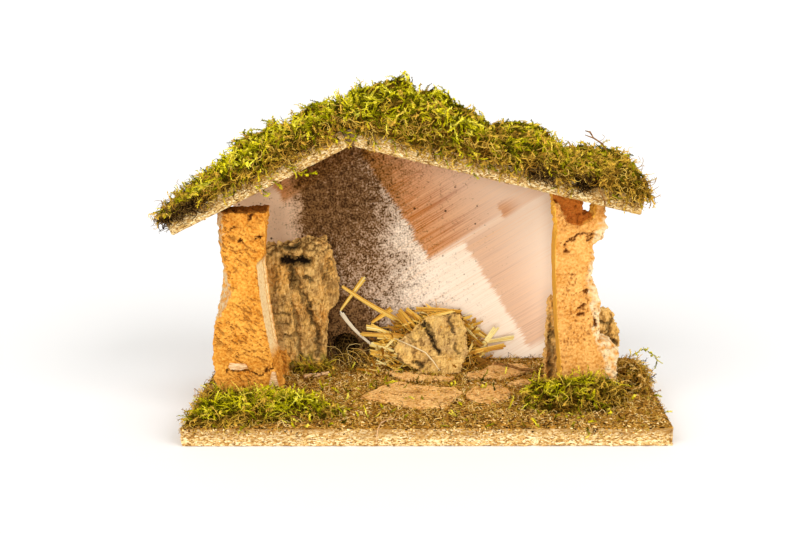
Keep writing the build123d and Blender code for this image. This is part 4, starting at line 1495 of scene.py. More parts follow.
@dataclass
class Scatter:
    """Bits strewn over a surface by Geometry Nodes."""

    bits: list[Mesh]
    # Bits to a square millimetre, and the smallest and the largest size
    density: float
    scale: tuple[float, float] = (0.7, 1.3)
    # How far a bit's direction follows the surface's normal, a random direction along it, and one for all
    stand: float = 0.6
    wander: float = 0.7
    flow: Spot = (0.0, 0.0, 0.0)
    # Widest turn of a bit about itself, and how far its curl turns down to the surface
    spin: float = math.pi
    droop: float = 0.0
    cover: str = "cover"
    lowest: float = 0.4
    rearmost: float = 200.0
    seed: int = 1

    def tree(self) -> Tree:
        """Build the node group the first time and return the same one after that.

        Returns:
            The node group.
        """
        made = bpy.data.node_groups.get("strew bits")
        if made:
            return made
        tree = bpy.data.node_groups.new("strew bits", "GeometryNodeTree")
        sockets = {
            "Geometry": "Geometry", "Bits": "Collection", "Count": "Int", "Density": "Float",
            "Smallest": "Float", "Largest": "Float", "Stand": "Float", "Flow": "Vector", "Wander": "Float",
            "Spin": "Float", "Droop": "Float", "Cover": "String", "Seed": "Int", "Finish": "Material"}
        for name, kind in sockets.items():
            tree.interface.new_socket(name, in_out="INPUT", socket_type="NodeSocket" + kind)
        tree.interface.new_socket("Geometry", in_out="OUTPUT", socket_type="NodeSocketGeometry")
        given = add(tree, "NodeGroupInput").outputs
        seed, count = given["Seed"], given["Count"]
        # Points, denser where the surface has more cover
        cover = add(tree, "GeometryNodeInputNamedAttribute", {"Name": given["Cover"]})
        dense = add(tree, TIMES, {0: given["Density"], 1: cover})
        strewn = add(tree, "GeometryNodeDistributePointsOnFaces", {
            "Mesh": given["Geometry"], "Density": dense, "Seed": seed}).outputs
        normal = strewn["Normal"]
        # Direction of each bit
        upright = add(tree, RANDOM, {2: 0.1, 3: 1.6, "Seed": count}).outputs[1]
        height = add(tree, TIMES, {0: given["Stand"], 1: upright})
        stand = add(tree, VECTOR_SCALED, {0: normal, "Scale": height})
        stray = add(tree, RANDOM, {
            "Min": (-1, -1, -1), "Max": (1, 1, 1), "Seed": seed}, data_type="FLOAT_VECTOR")
        out = add(tree, VECTORS + " DOT_PRODUCT", {0: stray, 1: normal}).outputs["Value"]
        lift = add(tree, VECTOR_SCALED, {0: normal, "Scale": out})
        flat = add(tree, VECTORS + " SUBTRACT", {0: stray, 1: lift})
        wander = add(tree, VECTOR_SCALED, {0: flat, "Scale": given["Wander"]})
        heading = add(tree, VECTOR_PLUS, {0: stand, 1: wander})
        heading = add(tree, VECTOR_PLUS, {0: heading, 1: given["Flow"]})
        aimed = add(tree, "FunctionNodeAlignRotationToVector", {"Vector": heading}, axis="Z")
        # Turn of each bit about itself
        down = add(tree, VECTOR_SCALED, {0: normal, "Scale": -1.0})
        drooped = add(tree, "FunctionNodeAlignRotationToVector", {
            "Rotation": aimed, "Factor": given["Droop"], "Vector": down}, axis="X", pivot_axis="Z")
        back = add(tree, TIMES, {0: given["Spin"], 1: -1.0})
        turn = add(tree, RANDOM, {2: back, 3: given["Spin"], "Seed": seed}).outputs[1]
        about = add(tree, "FunctionNodeAxisAngleToRotation", {"Axis": (0, 0, 1), "Angle": turn})
        spun = add(tree, "FunctionNodeRotateRotation", {0: drooped, 1: about}, rotation_space="LOCAL")
        # Size, shape and tint of each bit
        size = add(tree, RANDOM, {2: given["Smallest"], 3: given["Largest"], "Seed": count}).outputs[1]
        last = add(tree, MINUS, {0: count, 1: 1.0})
        pick = add(tree, RANDOM, {4: 0, 5: last, "Seed": seed}, data_type="INT").outputs[2]
        source = add(tree, "GeometryNodeCollectionInfo", {
            "Collection": given["Bits"], "Separate Children": True, "Reset Children": True})
        laid = add(tree, "GeometryNodeInstanceOnPoints", {
            "Points": strewn["Points"], "Instance": source, "Pick Instance": True, "Instance Index": pick,
            "Rotation": spun, "Scale": size})
        tint = add(tree, RANDOM, {2: 0.0, 3: 1.0, "Seed": seed}).outputs[1]
        tinted = add(tree, "GeometryNodeStoreNamedAttribute", {
            "Geometry": laid, "Name": "tint", "Value": tint}, domain="INSTANCE")
        real = add(tree, "GeometryNodeRealizeInstances", {"Geometry": tinted})
        dressed = add(tree, "GeometryNodeSetMaterial", {"Geometry": real, "Material": given["Finish"]})
        add(tree, "NodeGroupOutput", {0: dressed})
        return tree

    def over(self, name: str, ground: Piece, surface: Surface, slot: str) -> Piece:
        """Strew the bits over a surface and dress them as one piece.

        Args:
            name: the piece's name.
            ground: the surface, with its cover stored on it.
            surface: the bits' finish.
            slot: the record's material slot.

        Returns:
            The finished piece.
        """
        box = bpy.data.collections.new(name + "_bits")
        for number, mesh in enumerate(self.bits):
            box.objects.link(bpy.data.objects.new(f"{name}_bit_{number}", mesh))
        piece = place(name, ground.data.copy())
        values = {
            "Bits": box, "Count": len(self.bits), "Density": self.density / MM ** 2,
            "Smallest": self.scale[0], "Largest": self.scale[1], "Stand": self.stand, "Flow": self.flow,
            "Wander": self.wander, "Spin": self.spin, "Droop": self.droop, "Cover": self.cover,
            "Seed": self.seed, "Finish": surface.value.material()}
        strew = piece.modifiers.new("strew", "NODES")
        strew.node_group = self.tree()
        for item in strew.node_group.interface.items_tree:
            if item.in_out == "INPUT" and item.name in values:
                strew[item.identifier] = values[item.name]
        bits = plain(piece)
        points = read(bits, "co")
        points[:, 2] = np.maximum(points[:, 2], self.lowest)
        points[:, 1] = np.minimum(points[:, 1], self.rearmost)
        write(bits, points)
        for holder in list(box.objects):
            bpy.data.objects.remove(holder)
        bpy.data.collections.remove(box)
        return settle(piece, surface, slot)


# Moss


class Side(Enum):
    """The two roof boards."""

    LEFT = ("roof_board_left", -LEFT_PITCH, 3)
    RIGHT = ("roof_board_right", RIGHT_PITCH, 4)

    def __init__(self, board: str, fall: float, cushions: int) -> None:
        """Keep what tells the boards apart.

        Args:
            board: the solid's name.
            fall: its fall to the right in degrees.
            cushions: how many cushions of moss lie in a row on it.
        """
        self.board = board
        self.fall = fall
        self.cushions = cushions

    def top(self, across: Values) -> Values:
        """Height of the board's upper face.

        Args:
            across: places across the stable.

        Returns:
            One height for each place.
        """
        low, high = box_corners(self.board)
        slope = math.radians(self.fall)
        ridge = (high[0] if self.fall < 0 else low[0]) + BOARD_THICKNESS * math.sin(slope)
        return high[2] - (across - ridge) * math.tan(slope)

    def eaves(self, first: float, last: float, out: float, up: float) -> list[Spot]:
        """A straight line along the board's front edge.

        Args:
            first: where it starts across the stable.
            last: where it ends.
            out: how far it lies in front of the edge.
            up: how far it lies above the upper face.

        Returns:
            The line's two ends.
        """
        ends = np.array((first, last))
        return [(x, ROOF_FRONT - out, z + up) for x, z in zip(ends, self.top(ends))]

    def inner(self, points: Values) -> Values:
        """Share of 1 well inside the board's outer edges, down to 0 near them.

        Args:
            points: places in millimetres.

        Returns:
            One value for each point.
        """
        low, high = box_corners(self.board)
        from_eaves = points[:, 0] - low[0] if self.fall < 0 else high[0] - points[:, 0]
        inside = np.minimum.reduce((from_eaves, points[:, 1] - low[1], high[1] - points[:, 1]))
        return ramp(inside, 4.0, 16.0)


@dataclass
class MossPatch:
    """A cushion of moss: a matted lump, green sprigs over it and dead stems low down."""

    name: str
    nodes: tuple[str, ...]
    rise: float
    side: Side | None = None
    voxel: float = 2.2
    # Width and height of the mat's swells, and how far it lies under its solid's face
    swells: tuple[tuple[float, float], ...] = ((15.0, 3.2), (6.0, 1.6))
    sink: float = 3.5
    density: float = 0.2
    dead_density: float = 0.13
    stand: float = 0.4
    flow: Spot = (0.0, 0.0, 0.0)
    stems: tuple[float, ...] = (8.0, 11.0, 14.0)
    # How dry all of it is, and the width of its drier patches
    dry: float = 0.0
    dry_patch: float = 20.0
    # Height that the moss keeps between its cushions, as a share of its rise
    closing: float = 0.7
    surface: Surface = Surface.MOSS
    lengths: tuple[float, ...] = (5.0, 6.5, 8.0, 9.5)
    # Radius of a sprig's stem and width of its leaves
    stem: float = 0.5
    leaf_width: float = 0.85
    # How far the mat stands above or below its solid's top, as X and height
    crest: tuple[tuple[float, float], ...] = ((0.0, 0.0),)
    # Hollows on the front, pushed in and bare of sprigs so that the near-black mat paints their shade, as X,
    # Z, half width and half height
    hollows: tuple[tuple[float, float, float, float], ...] = ()
    hollow_depth: float = 7.0
    seed: int = 1

    def floor(self, points: Values) -> Values:
        """Height of what the moss lies on, at each place."""
        return self.side.top(points[:, 0]) if self.side else np.full(len(points), GROUND)

    def dark(self, points: Values, normals: Values) -> Values:
        """How far each place lies in one of the hollows, whose shade the bare near-black mat paints.

        Args:
            points: places in millimetres.
            normals: outward directions.

        Returns:
            One value for each point, 1 deep in a hollow.
        """
        facing = ramp(-normals[:, 1], 0.1, 0.4)
        away = [np.hypot((points[:, 0] - x) / wide, (points[:, 2] - z) / tall)
                for x, z, wide, tall in self.hollows]
        return deepest([ramp(distance, 1.0, 0.7) * facing for distance in away], len(points))

    def mat(self) -> Piece:
        """Make the matted lump, with the moss's cover and dryness stored on it.

        Returns:
            The lump, not yet dressed.
        """
        mat = skin(self.name + "_mat", list(self.nodes), self.voxel)
        points = read(mat.data, "co")
        normals = read(mat.data, "normal")
        above = points[:, 2] - self.floor(points)
        if self.side:
            closed = np.maximum(above, self.closing * self.rise * self.side.inner(points)) - above
            closed *= ramp(normals[:, 2], -0.5, -0.3)
            points[:, 2] += closed
            above = above + closed
        swell = sum(height * cloud(points, width, self.seed + number)
                    for number, (width, height) in enumerate(self.swells)) - self.sink
        dark = self.dark(points, normals)
        lift = np.interp(points[:, 0], *zip(*self.crest)) * ramp(normals[:, 2], 0.1, 0.6)
        points[:, 2] += lift * ramp(above, 2.0, 12.0)
        free = ramp(above, 0.5, 3.0)
        write(mat.data, points + normals * ((swell - self.hollow_depth * dark) * free)[:, None])
        share = np.clip(above / self.rise, 0, 1)
        # Fewer sprigs in the hollows, so the near-black mat shows there as painted shade
        upward = ramp(normals[:, 2], -0.75, -0.35) * (1 - dark)
        patches = ramp(cloud(points, self.dry_patch, self.seed + 5), 0.0, 0.45)
        dry = self.dry + 0.6 * ramp(share, 0.6, 0.1) + 0.6 * patches
        if self.side is Side.RIGHT:
            dry += 0.3 * ramp(points[:, 0], 20.0, 120.0)
        store(mat.data, "dry", dry)
        store(mat.data, "cover", upward * ramp(above, -1.0, 1.0))
        store(mat.data, "low_cover", np.maximum(upward, 0.25 * dark) * ramp(share, 0.75, 0.3))
        return mat

    def build(self) -> None:
        """Make the mat, then strew its sprigs and dead stems."""
        mat = self.mat()
        sprigs = [Sprig(length, self.stem, leaf_width=self.leaf_width) for length in self.lengths]
        stems = [Strand(length) for length in self.stems]
        green = Scatter(meshes(sprigs, self.seed * 10), self.density, stand=self.stand, wander=0.8,
                        flow=self.flow, spin=1.1, droop=1.0, seed=self.seed)
        green.over(self.name + "_sprigs", mat, self.surface, "moss")
        dead = Scatter(meshes(stems, self.seed * 10), self.dead_density, stand=0.3, wander=0.8,
                       flow=(0.0, -0.1, -0.15), cover="low_cover", seed=self.seed + 50)
        dead.over(self.name + "_stems", mat, Surface.DEAD_MOSS, "moss")
        settle(mat, Surface.MOSS_MAT, "moss", self.nodes)


def roof_moss() -> list[MossPatch]:
    """The moss on the roof, one patch for each row of cushions on each board.

    Returns:
        The patches.
    """
    hollows = {"roof_moss_left_front": ((-163, 158, 15, 6),),
               "roof_moss_right_front": ((78, 178, 13, 5), (110, 170, 11, 5))}
    crest = ((-185, -5), (-160, -6), (-140, 4), (-120, 0), (-100, 3), (-85, 0), (-65, -4), (-50, -8),
             (-40, -8), (-30, -3), (-18, 4), (-3, 13), (8, 11), (20, 5), (40, 3), (60, 1), (80, 4), (100, 0),
             (125, 3), (140, 7), (155, 5))
    patches = []
    for side in Side:
        outward = math.copysign(0.25, side.fall)
        for row, density in (("front", 0.19), ("rear", 0.165)):
            name = f"roof_moss_{side.name.lower()}_{row}"
            nodes = tuple(f"{name}_{number + 1}" for number in range(side.cushions))
            patches.append(MossPatch(
                name, nodes, 20.0, side, flow=(outward, -0.15, -0.15), density=density, crest=crest,
                hollows=hollows.get(name, ()), seed=11 + 7 * len(patches)))
    return patches


def ground_moss() -> list[MossPatch]:
    """The tufts on the ground.

    Returns:
        The patches.
    """
    # Height, dryness, depth under the solid, density, finish and hollows by name
    tufts = {
        "front_left": (13.0, 0.0, 4.5, 0.28, Surface.MOSS, ((-96, 16, 10, 3),)),
        "front_right": (18.0, 0.12, 3.0, 0.19, Surface.MOSS,
                        ((118, 18, 11, 8), (101, 23, 8, 7), (86, 18, 8, 6))),
        "rear_right": (17.0, 0.85, 3.0, 0.28, Surface.LITTER, ((146, 22, 6, 5),)),
        "inner": (9.0, 0.3, 3.0, 0.28, Surface.MOSS, ())}
    patches = []
    for tuft, (height, dry, sink, density, surface, hollows) in tufts.items():
        name = "ground_moss_" + tuft
        patches.append(MossPatch(
            name, (name,), height, voxel=1.6, sink=sink, stand=0.6, density=density, surface=surface, dry=dry,
            lengths=(6.0, 8.0, 10.0, 7.0), stem=0.36, leaf_width=0.6, stems=(5.0, 7.0, 9.0), hollows=hollows,
            seed=60 + 7 * len(patches)))
    return patches


@dataclass
class Fringe:
    """Bits that hang over an edge, strewn from a strip that follows it."""

    name: str
    edge: list[Spot]
    drop: float
    seed: int
    step: float = 3.0
    # Where nothing hangs, as the lowest and the highest X
    gaps: tuple[tuple[float, float], ...] = ()
    # Bits all along the strip, or in patches of this width
    even: bool = False
    patch: float = 16.0

    def strip(self) -> Piece:
        """Make the strip along the edge, with its cover stored on it.

        Returns:
            The strip.
        """
        rows = []
        for start, end in zip(self.edge, self.edge[1:]):
            first, last = Vector(start), Vector(end)
            count = max(round((last - first).length / self.step), 1)
            rows += [first.lerp(last, number / count) for number in range(count + 1)]
        points = [point - Vector((0, 0, lower)) for point in rows for lower in (0, self.drop)]
        faces = [(2 * row, 2 * row + 1, 2 * row + 3, 2 * row + 2) for row in range(len(rows) - 1)]
        mesh = from_faces(self.name + "_strip", (points, faces, [0.0] * len(points)))
        cover = ramp(cloud(np.array(points), self.patch, self.seed), -0.4, 0.3)
        cover[1::2] *= 0.3
        across = np.array([point.x for point in points])
        for start, end in self.gaps:
            cover[(across > start) & (across < end)] = 0
        store(mesh, "cover", np.ones(len(points)) if self.even else cover)
        store(mesh, "dry", 0.3 + 0.6 * cover)
        return place(mesh.name, mesh)

    def hang(self, slot: str, layers: dict[str, tuple[Scatter, Surface]]) -> None:
        """Strew bits from the strip, then take it away.

        Args:
            slot: the record's material slot.
            layers: the bits and their finish, by the name of their piece.
        """
        strip = self.strip()
        for layer, (bits, surface) in layers.items():
            bits.over(f"{self.name}_{layer}", strip, surface, slot)
        bpy.data.objects.remove(strip)


def eaves_fringes(side: Side, shaded: tuple[tuple[float, float], ...]) -> None:
    """Hang moss over a roof board's front edge, and dark roots where it is in shade, whose near-black colour
    also paints that shade.

    Args:
        side: the board.
        shaded: where the roots hang, as the lowest and the highest X.
    """
    low, high = box_corners(side.board)
    edge = side.eaves(low[0] + 1, high[0] - 1, out=0.4, up=1.5)
    seed = 90 + side.cushions
    stems = meshes([Strand(length) for length in (6.0, 8.0, 11.0)], seed)
    sprigs = meshes([Sprig(length) for length in (5.0, 6.5, 8.0)], seed)
    Fringe(f"eaves_fringe_{side.name.lower()}", edge, 7.0, seed, gaps=shaded).hang("moss", {
        "stems": (Scatter(stems, 0.42, stand=0.35, flow=(0.0, 0.0, -0.35), seed=seed), Surface.DEAD_MOSS),
        "sprigs": (Scatter(sprigs, 0.26, stand=0.4, flow=(0.0, 0.0, -0.3), spin=1.5, droop=1.0,
                           seed=seed + 1), Surface.MOSS)})
    # Near-black fibres where the moss overhangs: dark roots, whose colour also paints the shade there
    for number, (first, last) in enumerate(shaded):
        edge = side.eaves(first, last, out=2.0, up=3.5)
        seed = 120 + number + side.cushions
        roots = meshes([Strand(length, 0.4) for length in (5.0, 7.0, 9.0)], seed)
        Fringe(f"eaves_shade_{side.name.lower()}_{number}", edge, 6.5, seed, even=True).hang("moss", {
            "roots": (Scatter(roots, 0.9, stand=0.15, wander=0.9, flow=(0.0, 0.0, -0.1), seed=seed),
                      Surface.DARK_FIBRE)})


def base_fringe() -> None:
    """Hang crumbs and fibres over the base's edges."""
    low, high = box_corners("base_board")
    rim = ((low[0], high[1]), (low[0], low[1]), (high[0], low[1]), (high[0], high[1]))
    seed = 97
    crumbs = meshes([Crumb((1.4, 1.0, 0.8)), Crumb((2.0, 0.9, 0.7))], seed)
    fibres = meshes([Strand(length, 0.3, 1.2, 1.0, 6) for length in (3.0, 4.5)], seed)
    Fringe("base_fringe", [(x, y, high[2] + 0.6) for x, y in rim], 4.0, seed).hang("earth_coat", {
        "crumbs": (Scatter(crumbs, 0.4, stand=1.0, wander=0.4, seed=seed), Surface.CRUMBS),
        "fibres": (Scatter(fibres, 0.2, stand=0.25, wander=0.9, seed=seed + 1), Surface.LITTER)})


def fringes() -> None:
    """Hang moss over both roof boards' edges and litter over the base's."""
    eaves_fringes(Side.LEFT, ((-181.0, -150.0),))
    eaves_fringes(Side.RIGHT, ((70.0, 86.0), (102.0, 114.0)))
    base_fringe()


@dataclass
class LooseShoots:
    """Loose moss shoots, each a chain of sprigs along a line."""

    name: str
    # Lines, how many sprigs follow them, and how dry they are
    lines: list[tuple[list[Spot], int, float]]
    length: float = 6.5
    seed: int = 31

    def build(self) -> None:
        """Set the sprigs along their lines and dress them as one piece."""
        draw = random.Random(self.seed)
        bundle = Bundle()
        for line, count, dry in self.lines:
            places = [Vector(point) for point in line]
            for number in range(count):
                way = (len(places) - 1) * number / count
                start = places[int(way)]
                ahead = places[int(way) + 1] - start
                stray = Vector(draw.uniform(-0.5, 0.5) for _ in range(3))
                turn = (ahead.normalized() + stray).to_track_quat("Z", "Y").to_matrix()
                turn = turn @ Matrix.Rotation(draw.uniform(0, 6.2), 3, "Z")
                root = start + ahead * (way - int(way)) + Vector((0, draw.uniform(-1, 1), 0))
                sprig = Sprig(self.length * draw.uniform(0.7, 1.2))
                points, faces, along = sprig.parts(self.seed + len(bundle.points))
                placed = [root + turn @ point for point in points]
                bundle.take((placed, faces, along), tint=draw.uniform(0.25, 1.0), dry=dry)
        settle(place(self.name, bundle.mesh(self.name)), Surface.MOSS, "moss")


def loose_shoots() -> list[LooseShoots]:
    """The shoots over the roof's and the base's front edges, on the path and out of the rear tuft.

    Returns:
        The shoots, one piece for each place.
    """
    # Lines on the front view, how many sprigs follow them, and how dry they are
    hanging = (
        (((-114.6, 183.7), (-110.4, 170), (-110.1, 160.3)), 6, 0.1),
        (((-114, 180), (-104.8, 173.4), (-96.1, 169.2)), 5, 0.1), (((-96, 184), (-83.1, 177)), 4, 0.3),
        (((-84, 177.2), (-74, 176.9)), 4, 0.0), (((-92, 189), (-86.6, 178)), 4, 0.6),
        (((10.7, 196.1), (15.3, 182.5)), 4, 0.4), (((22, 194), (32.8, 185.7), (33.5, 173.5)), 7, 0.1),
        (((30.8, 192.5), (40, 181)), 4, 0.2), (((83, 185.3), (84.3, 173.1)), 4, 0.3),
        (((-70, 204), (-50, 198)), 6, 0.3), (((-41, 206), (-51, 198)), 6, 0.4),
        (((-58, 208), (-48, 201)), 5, 0.2), (((-36, 203), (-30, 194)), 4, 0.2))
    eaves = [([(x, ROOF_FRONT - 2.0, z) for x, z in line], count, dry) for line, count, dry in hanging]
    bits = ((-4.5, 41.7), (-24.3, 34.7), (17.2, 2.4), (39.0, -2.1), (-15.2, -22.9))
    path = [([(x, y, GROUND + 2.4), (x + 5, y - 2, GROUND + 3)], 2, 0.0) for x, y in bits]
    side = [([(150, 20, 31), (160, 20, 37), (168, 20, 34), (172, 20, 26)], 10, 0.15),
            ([(150, 18, 27), (158, 17, 27), (163, 16, 22)], 5, 0.4)]
    front = [([(107, BASE_FRONT - 0.8, 14), (109.5, BASE_FRONT - 0.8, 8)], 3, 0.0)]
    return [LooseShoots("eaves_shoots", eaves), LooseShoots("front_edge_shoots", front, 4.5, 32),
            LooseShoots("side_shoots", side, 6.0, 33), LooseShoots("path_shoots", path, 5.0, 34)]


@dataclass(frozen=True)
class Stick:
    """One thin twig, thread or leaf along a line."""

    name: str
    surface: Surface
    slot: str
    radius: float
    line: tuple[Spot, ...]
    flat: float = 1.0
    sides: int = 6
    taper: float = 0.6

    def build(self) -> None:
        """Wrap the line and dress it."""
        middle = [Vector(point) for point in self.line]
        last = len(middle) - 1
        radii = [self.radius * (1 - self.taper * abs(2 * index / last - 1) ** 3)
                 for index in range(len(middle))]
        mesh = from_faces(self.name, tube(middle, radii, self.sides, self.flat))
        settle(place(self.name, mesh), self.surface, self.slot)


def sticks() -> list[Stick]:
    """The twig out of the roof moss, a thread over the roof's edge, and strands and a leaf on the ground.

    Returns:
        The sticks.
    """
    return [
        Stick("roof_twig", Surface.TWIG, "moss", 0.6,
              ((132, 22, 181), (126, 21, 190), (120, 20, 194), (113.5, 19.5, 196.5))),
        Stick("roof_twig_bud", Surface.TWIG, "moss", 0.7,
              ((120, 20, 194), (117, 19.5, 198.5), (113.5, 19, 199.5))),
        Stick("edge_thread", Surface.TWIG, "moss", 0.6,
              ((117, -26, 167), (120, -27, 161), (122, -27, 156), (121.4, -27, 150.5))),
        Stick("pale_fibre", Surface.DRY_WOOD, "earth_coat", 0.5,
              ((-17, -66, 14.2), (-24.6, -60, 14.4), (-30, -69, 14.4), (-32, -75.6, 12.8),
               (-33.5, -75.9, 2))),
        Stick("manger_strand", Surface.PALE_STRAW, "straw", 0.55,
              ((-25, 42, 40), (-11, 40.5, 34), (-1, 38.5, 29.5), (5, 36.5, 23), (10, 35, 16))),
        Stick("dead_leaf", Surface.TWIG, "earth_coat", 2.0,
              ((-97, -60, 14), (-93.5, -61, 15), (-89, -62, 15), (-85.5, -62.5, 14)), 0.2)]


# Ground


@dataclass
class EarthCoat:
    """Crumbs of earth, moss and bark, glued over the base board."""

    node: str = "ground_scatter"
    cell: float = 1.7
    # Width of the thin rim and how far its edge wavers
    bare_edge: float = 7.0
    waver: float = 3.5
    # Width and height of the bumps
    bumps: tuple[tuple[float, float], ...] = ((3.0, 0.55), (12.0, 0.4))
    # Heights above the board of the sheet's underside, its thinnest places and its rim
    underside: float = 0.02
    thinnest: float = 0.08
    rim_height: float = 0.12
    # How far the middle of the bumps lies under the solid's top
    sink: float = 0.25
    crumbs: tuple[Spot, ...] = ((1.7, 1.3, 1.0), (2.3, 1.4, 0.9), (3.0, 1.1, 0.8), (1.3, 1.2, 1.0))
    # Length and curl of the fibres
    fibres: tuple[tuple[float, float], ...] = ((5.0, 1.6), (7.0, 2.2), (4.0, 1.2), (9.0, 2.6))
    sprigs: tuple[float, ...] = (4.0, 6.0, 8.0)
    # Places where green sprigs lie thick, as X, Y and radius
    green: tuple[Spot, ...] = ((-64, -38, 24), (-88, -64, 16), (76, -42, 20), (98, -50, 18), (118, -44, 14))
    seed: int = 5

    def sheet(self) -> tuple[Mesh, list[int]]:
        """Make a flat sheet one unit wide, with a skirt round it and a lower face.

        Returns:
            The mesh, and the numbers of the lower face's vertices.
        """
        low, high = box_corners(self.node)
        columns, rows = (round(length / self.cell) for length in (high - low)[:2])
        form = bmesh.new()
        bmesh.ops.create_grid(form, x_segments=columns, y_segments=rows, size=0.5)
        tops = len(form.faces)
        rim = [edge for edge in form.edges if edge.is_boundary]
        skirt = bmesh.ops.extrude_edge_only(form, edges=rim)["geom"]
        # The skirt's faces come in no fixed order, so they are sorted by their turn round the middle
        form.faces.index_update()
        form.faces.sort(key=lambda face: face.index if face.index < tops else (
            tops + 4 + math.atan2(*face.calc_center_median().yx)))
        lower = [item for item in skirt if isinstance(item, bmesh.types.BMVert)]
        bottom = [item for item in skirt if isinstance(item, bmesh.types.BMEdge)]
        bmesh.ops.contextual_create(form, geom=bottom)
        form.verts.index_update()
        numbers = [vert.index for vert in lower]
        bmesh.ops.recalc_face_normals(form, faces=form.faces)
        return from_form("earth_coat", form), numbers

    def greenery(self, points: Values) -> Values:
        """How thick green sprigs lie.

        Args:
            points: places in millimetres.

        Returns:
            One value for each point.
        """
        strewn = ramp(cloud(points, 22.0, self.seed + 3), -0.3, 0.4)
        patchy = ramp(cloud(points, 8.0, self.seed + 4), -0.3, 0.3)
        for x, y, reach in self.green:
            near = ramp(np.hypot(points[:, 0] - x, points[:, 1] - y), reach, 0.2 * reach)
            strewn = np.maximum(strewn, 9 * near * patchy)
        return strewn

    def strew(self, ground: Piece) -> None:
        """Strew crumbs, fibres and sprigs.

        Args:
            ground: the coat, with its covers stored on it.
        """
        crumbs = meshes([Crumb(size) for size in self.crumbs], 0)
        fibres = meshes([Strand(length, 0.3, curl, 1.0, 6) for length, curl in self.fibres], 20)
        sprigs = meshes([Sprig(length) for length in self.sprigs], 30)
        layers = {
            "earth_crumbs": (Surface.CRUMBS, Scatter(
                crumbs, 0.1, scale=(0.55, 1.35), stand=1.0, wander=0.35, seed=self.seed)),
            "earth_fibres": (Surface.LITTER, Scatter(fibres, 0.1, stand=0.2, wander=1.0, seed=self.seed + 1)),
            "earth_sprigs": (Surface.MOSS, Scatter(
                sprigs, 0.006, stand=0.3, wander=1.0, droop=1.0, cover="low_cover", seed=self.seed + 2))}
        for name, (surface, bits) in layers.items():
            bits.over(name, ground, surface, "earth_coat")

    def build(self) -> None:
        """Lay the coat as a bumpy sheet, then strew bits on it."""
        low, high = box_corners(self.node)
        mesh, lower = self.sheet()
        piece = place("earth_coat", mesh)
        points = read(mesh, "co") * MM
        points[:, :2] = low[:2] + (points[:, :2] + 0.5) * (high[:2] - low[:2])
        edge = np.minimum.reduce((points[:, 0] - low[0], high[0] - points[:, 0], points[:, 1] - low[1]))
        fade = ramp(edge + self.waver * cloud(points, 7.0, self.seed), 0, self.bare_edge)
        bumps = sum(height * cloud(points, width, self.seed + number)
                    for number, (width, height) in enumerate(self.bumps, 1))
        thick = self.rim_height + fade * (high[2] - low[2] - self.sink + bumps)
        points[:, 2] = low[2] + np.clip(thick, self.thinnest, None)
        points[lower, 2] = low[2] + self.underside
        write(mesh, points)
        upward = ramp(read(mesh, "normal")[:, 2], 0.3, 0.6)
        store(mesh, "cover", upward * (0.25 + 0.75 * fade))
        store(mesh, "low_cover", upward * self.greenery(points))
        self.strew(piece)
        settle(piece, Surface.EARTH, "earth_coat", (self.node,))


# Straw


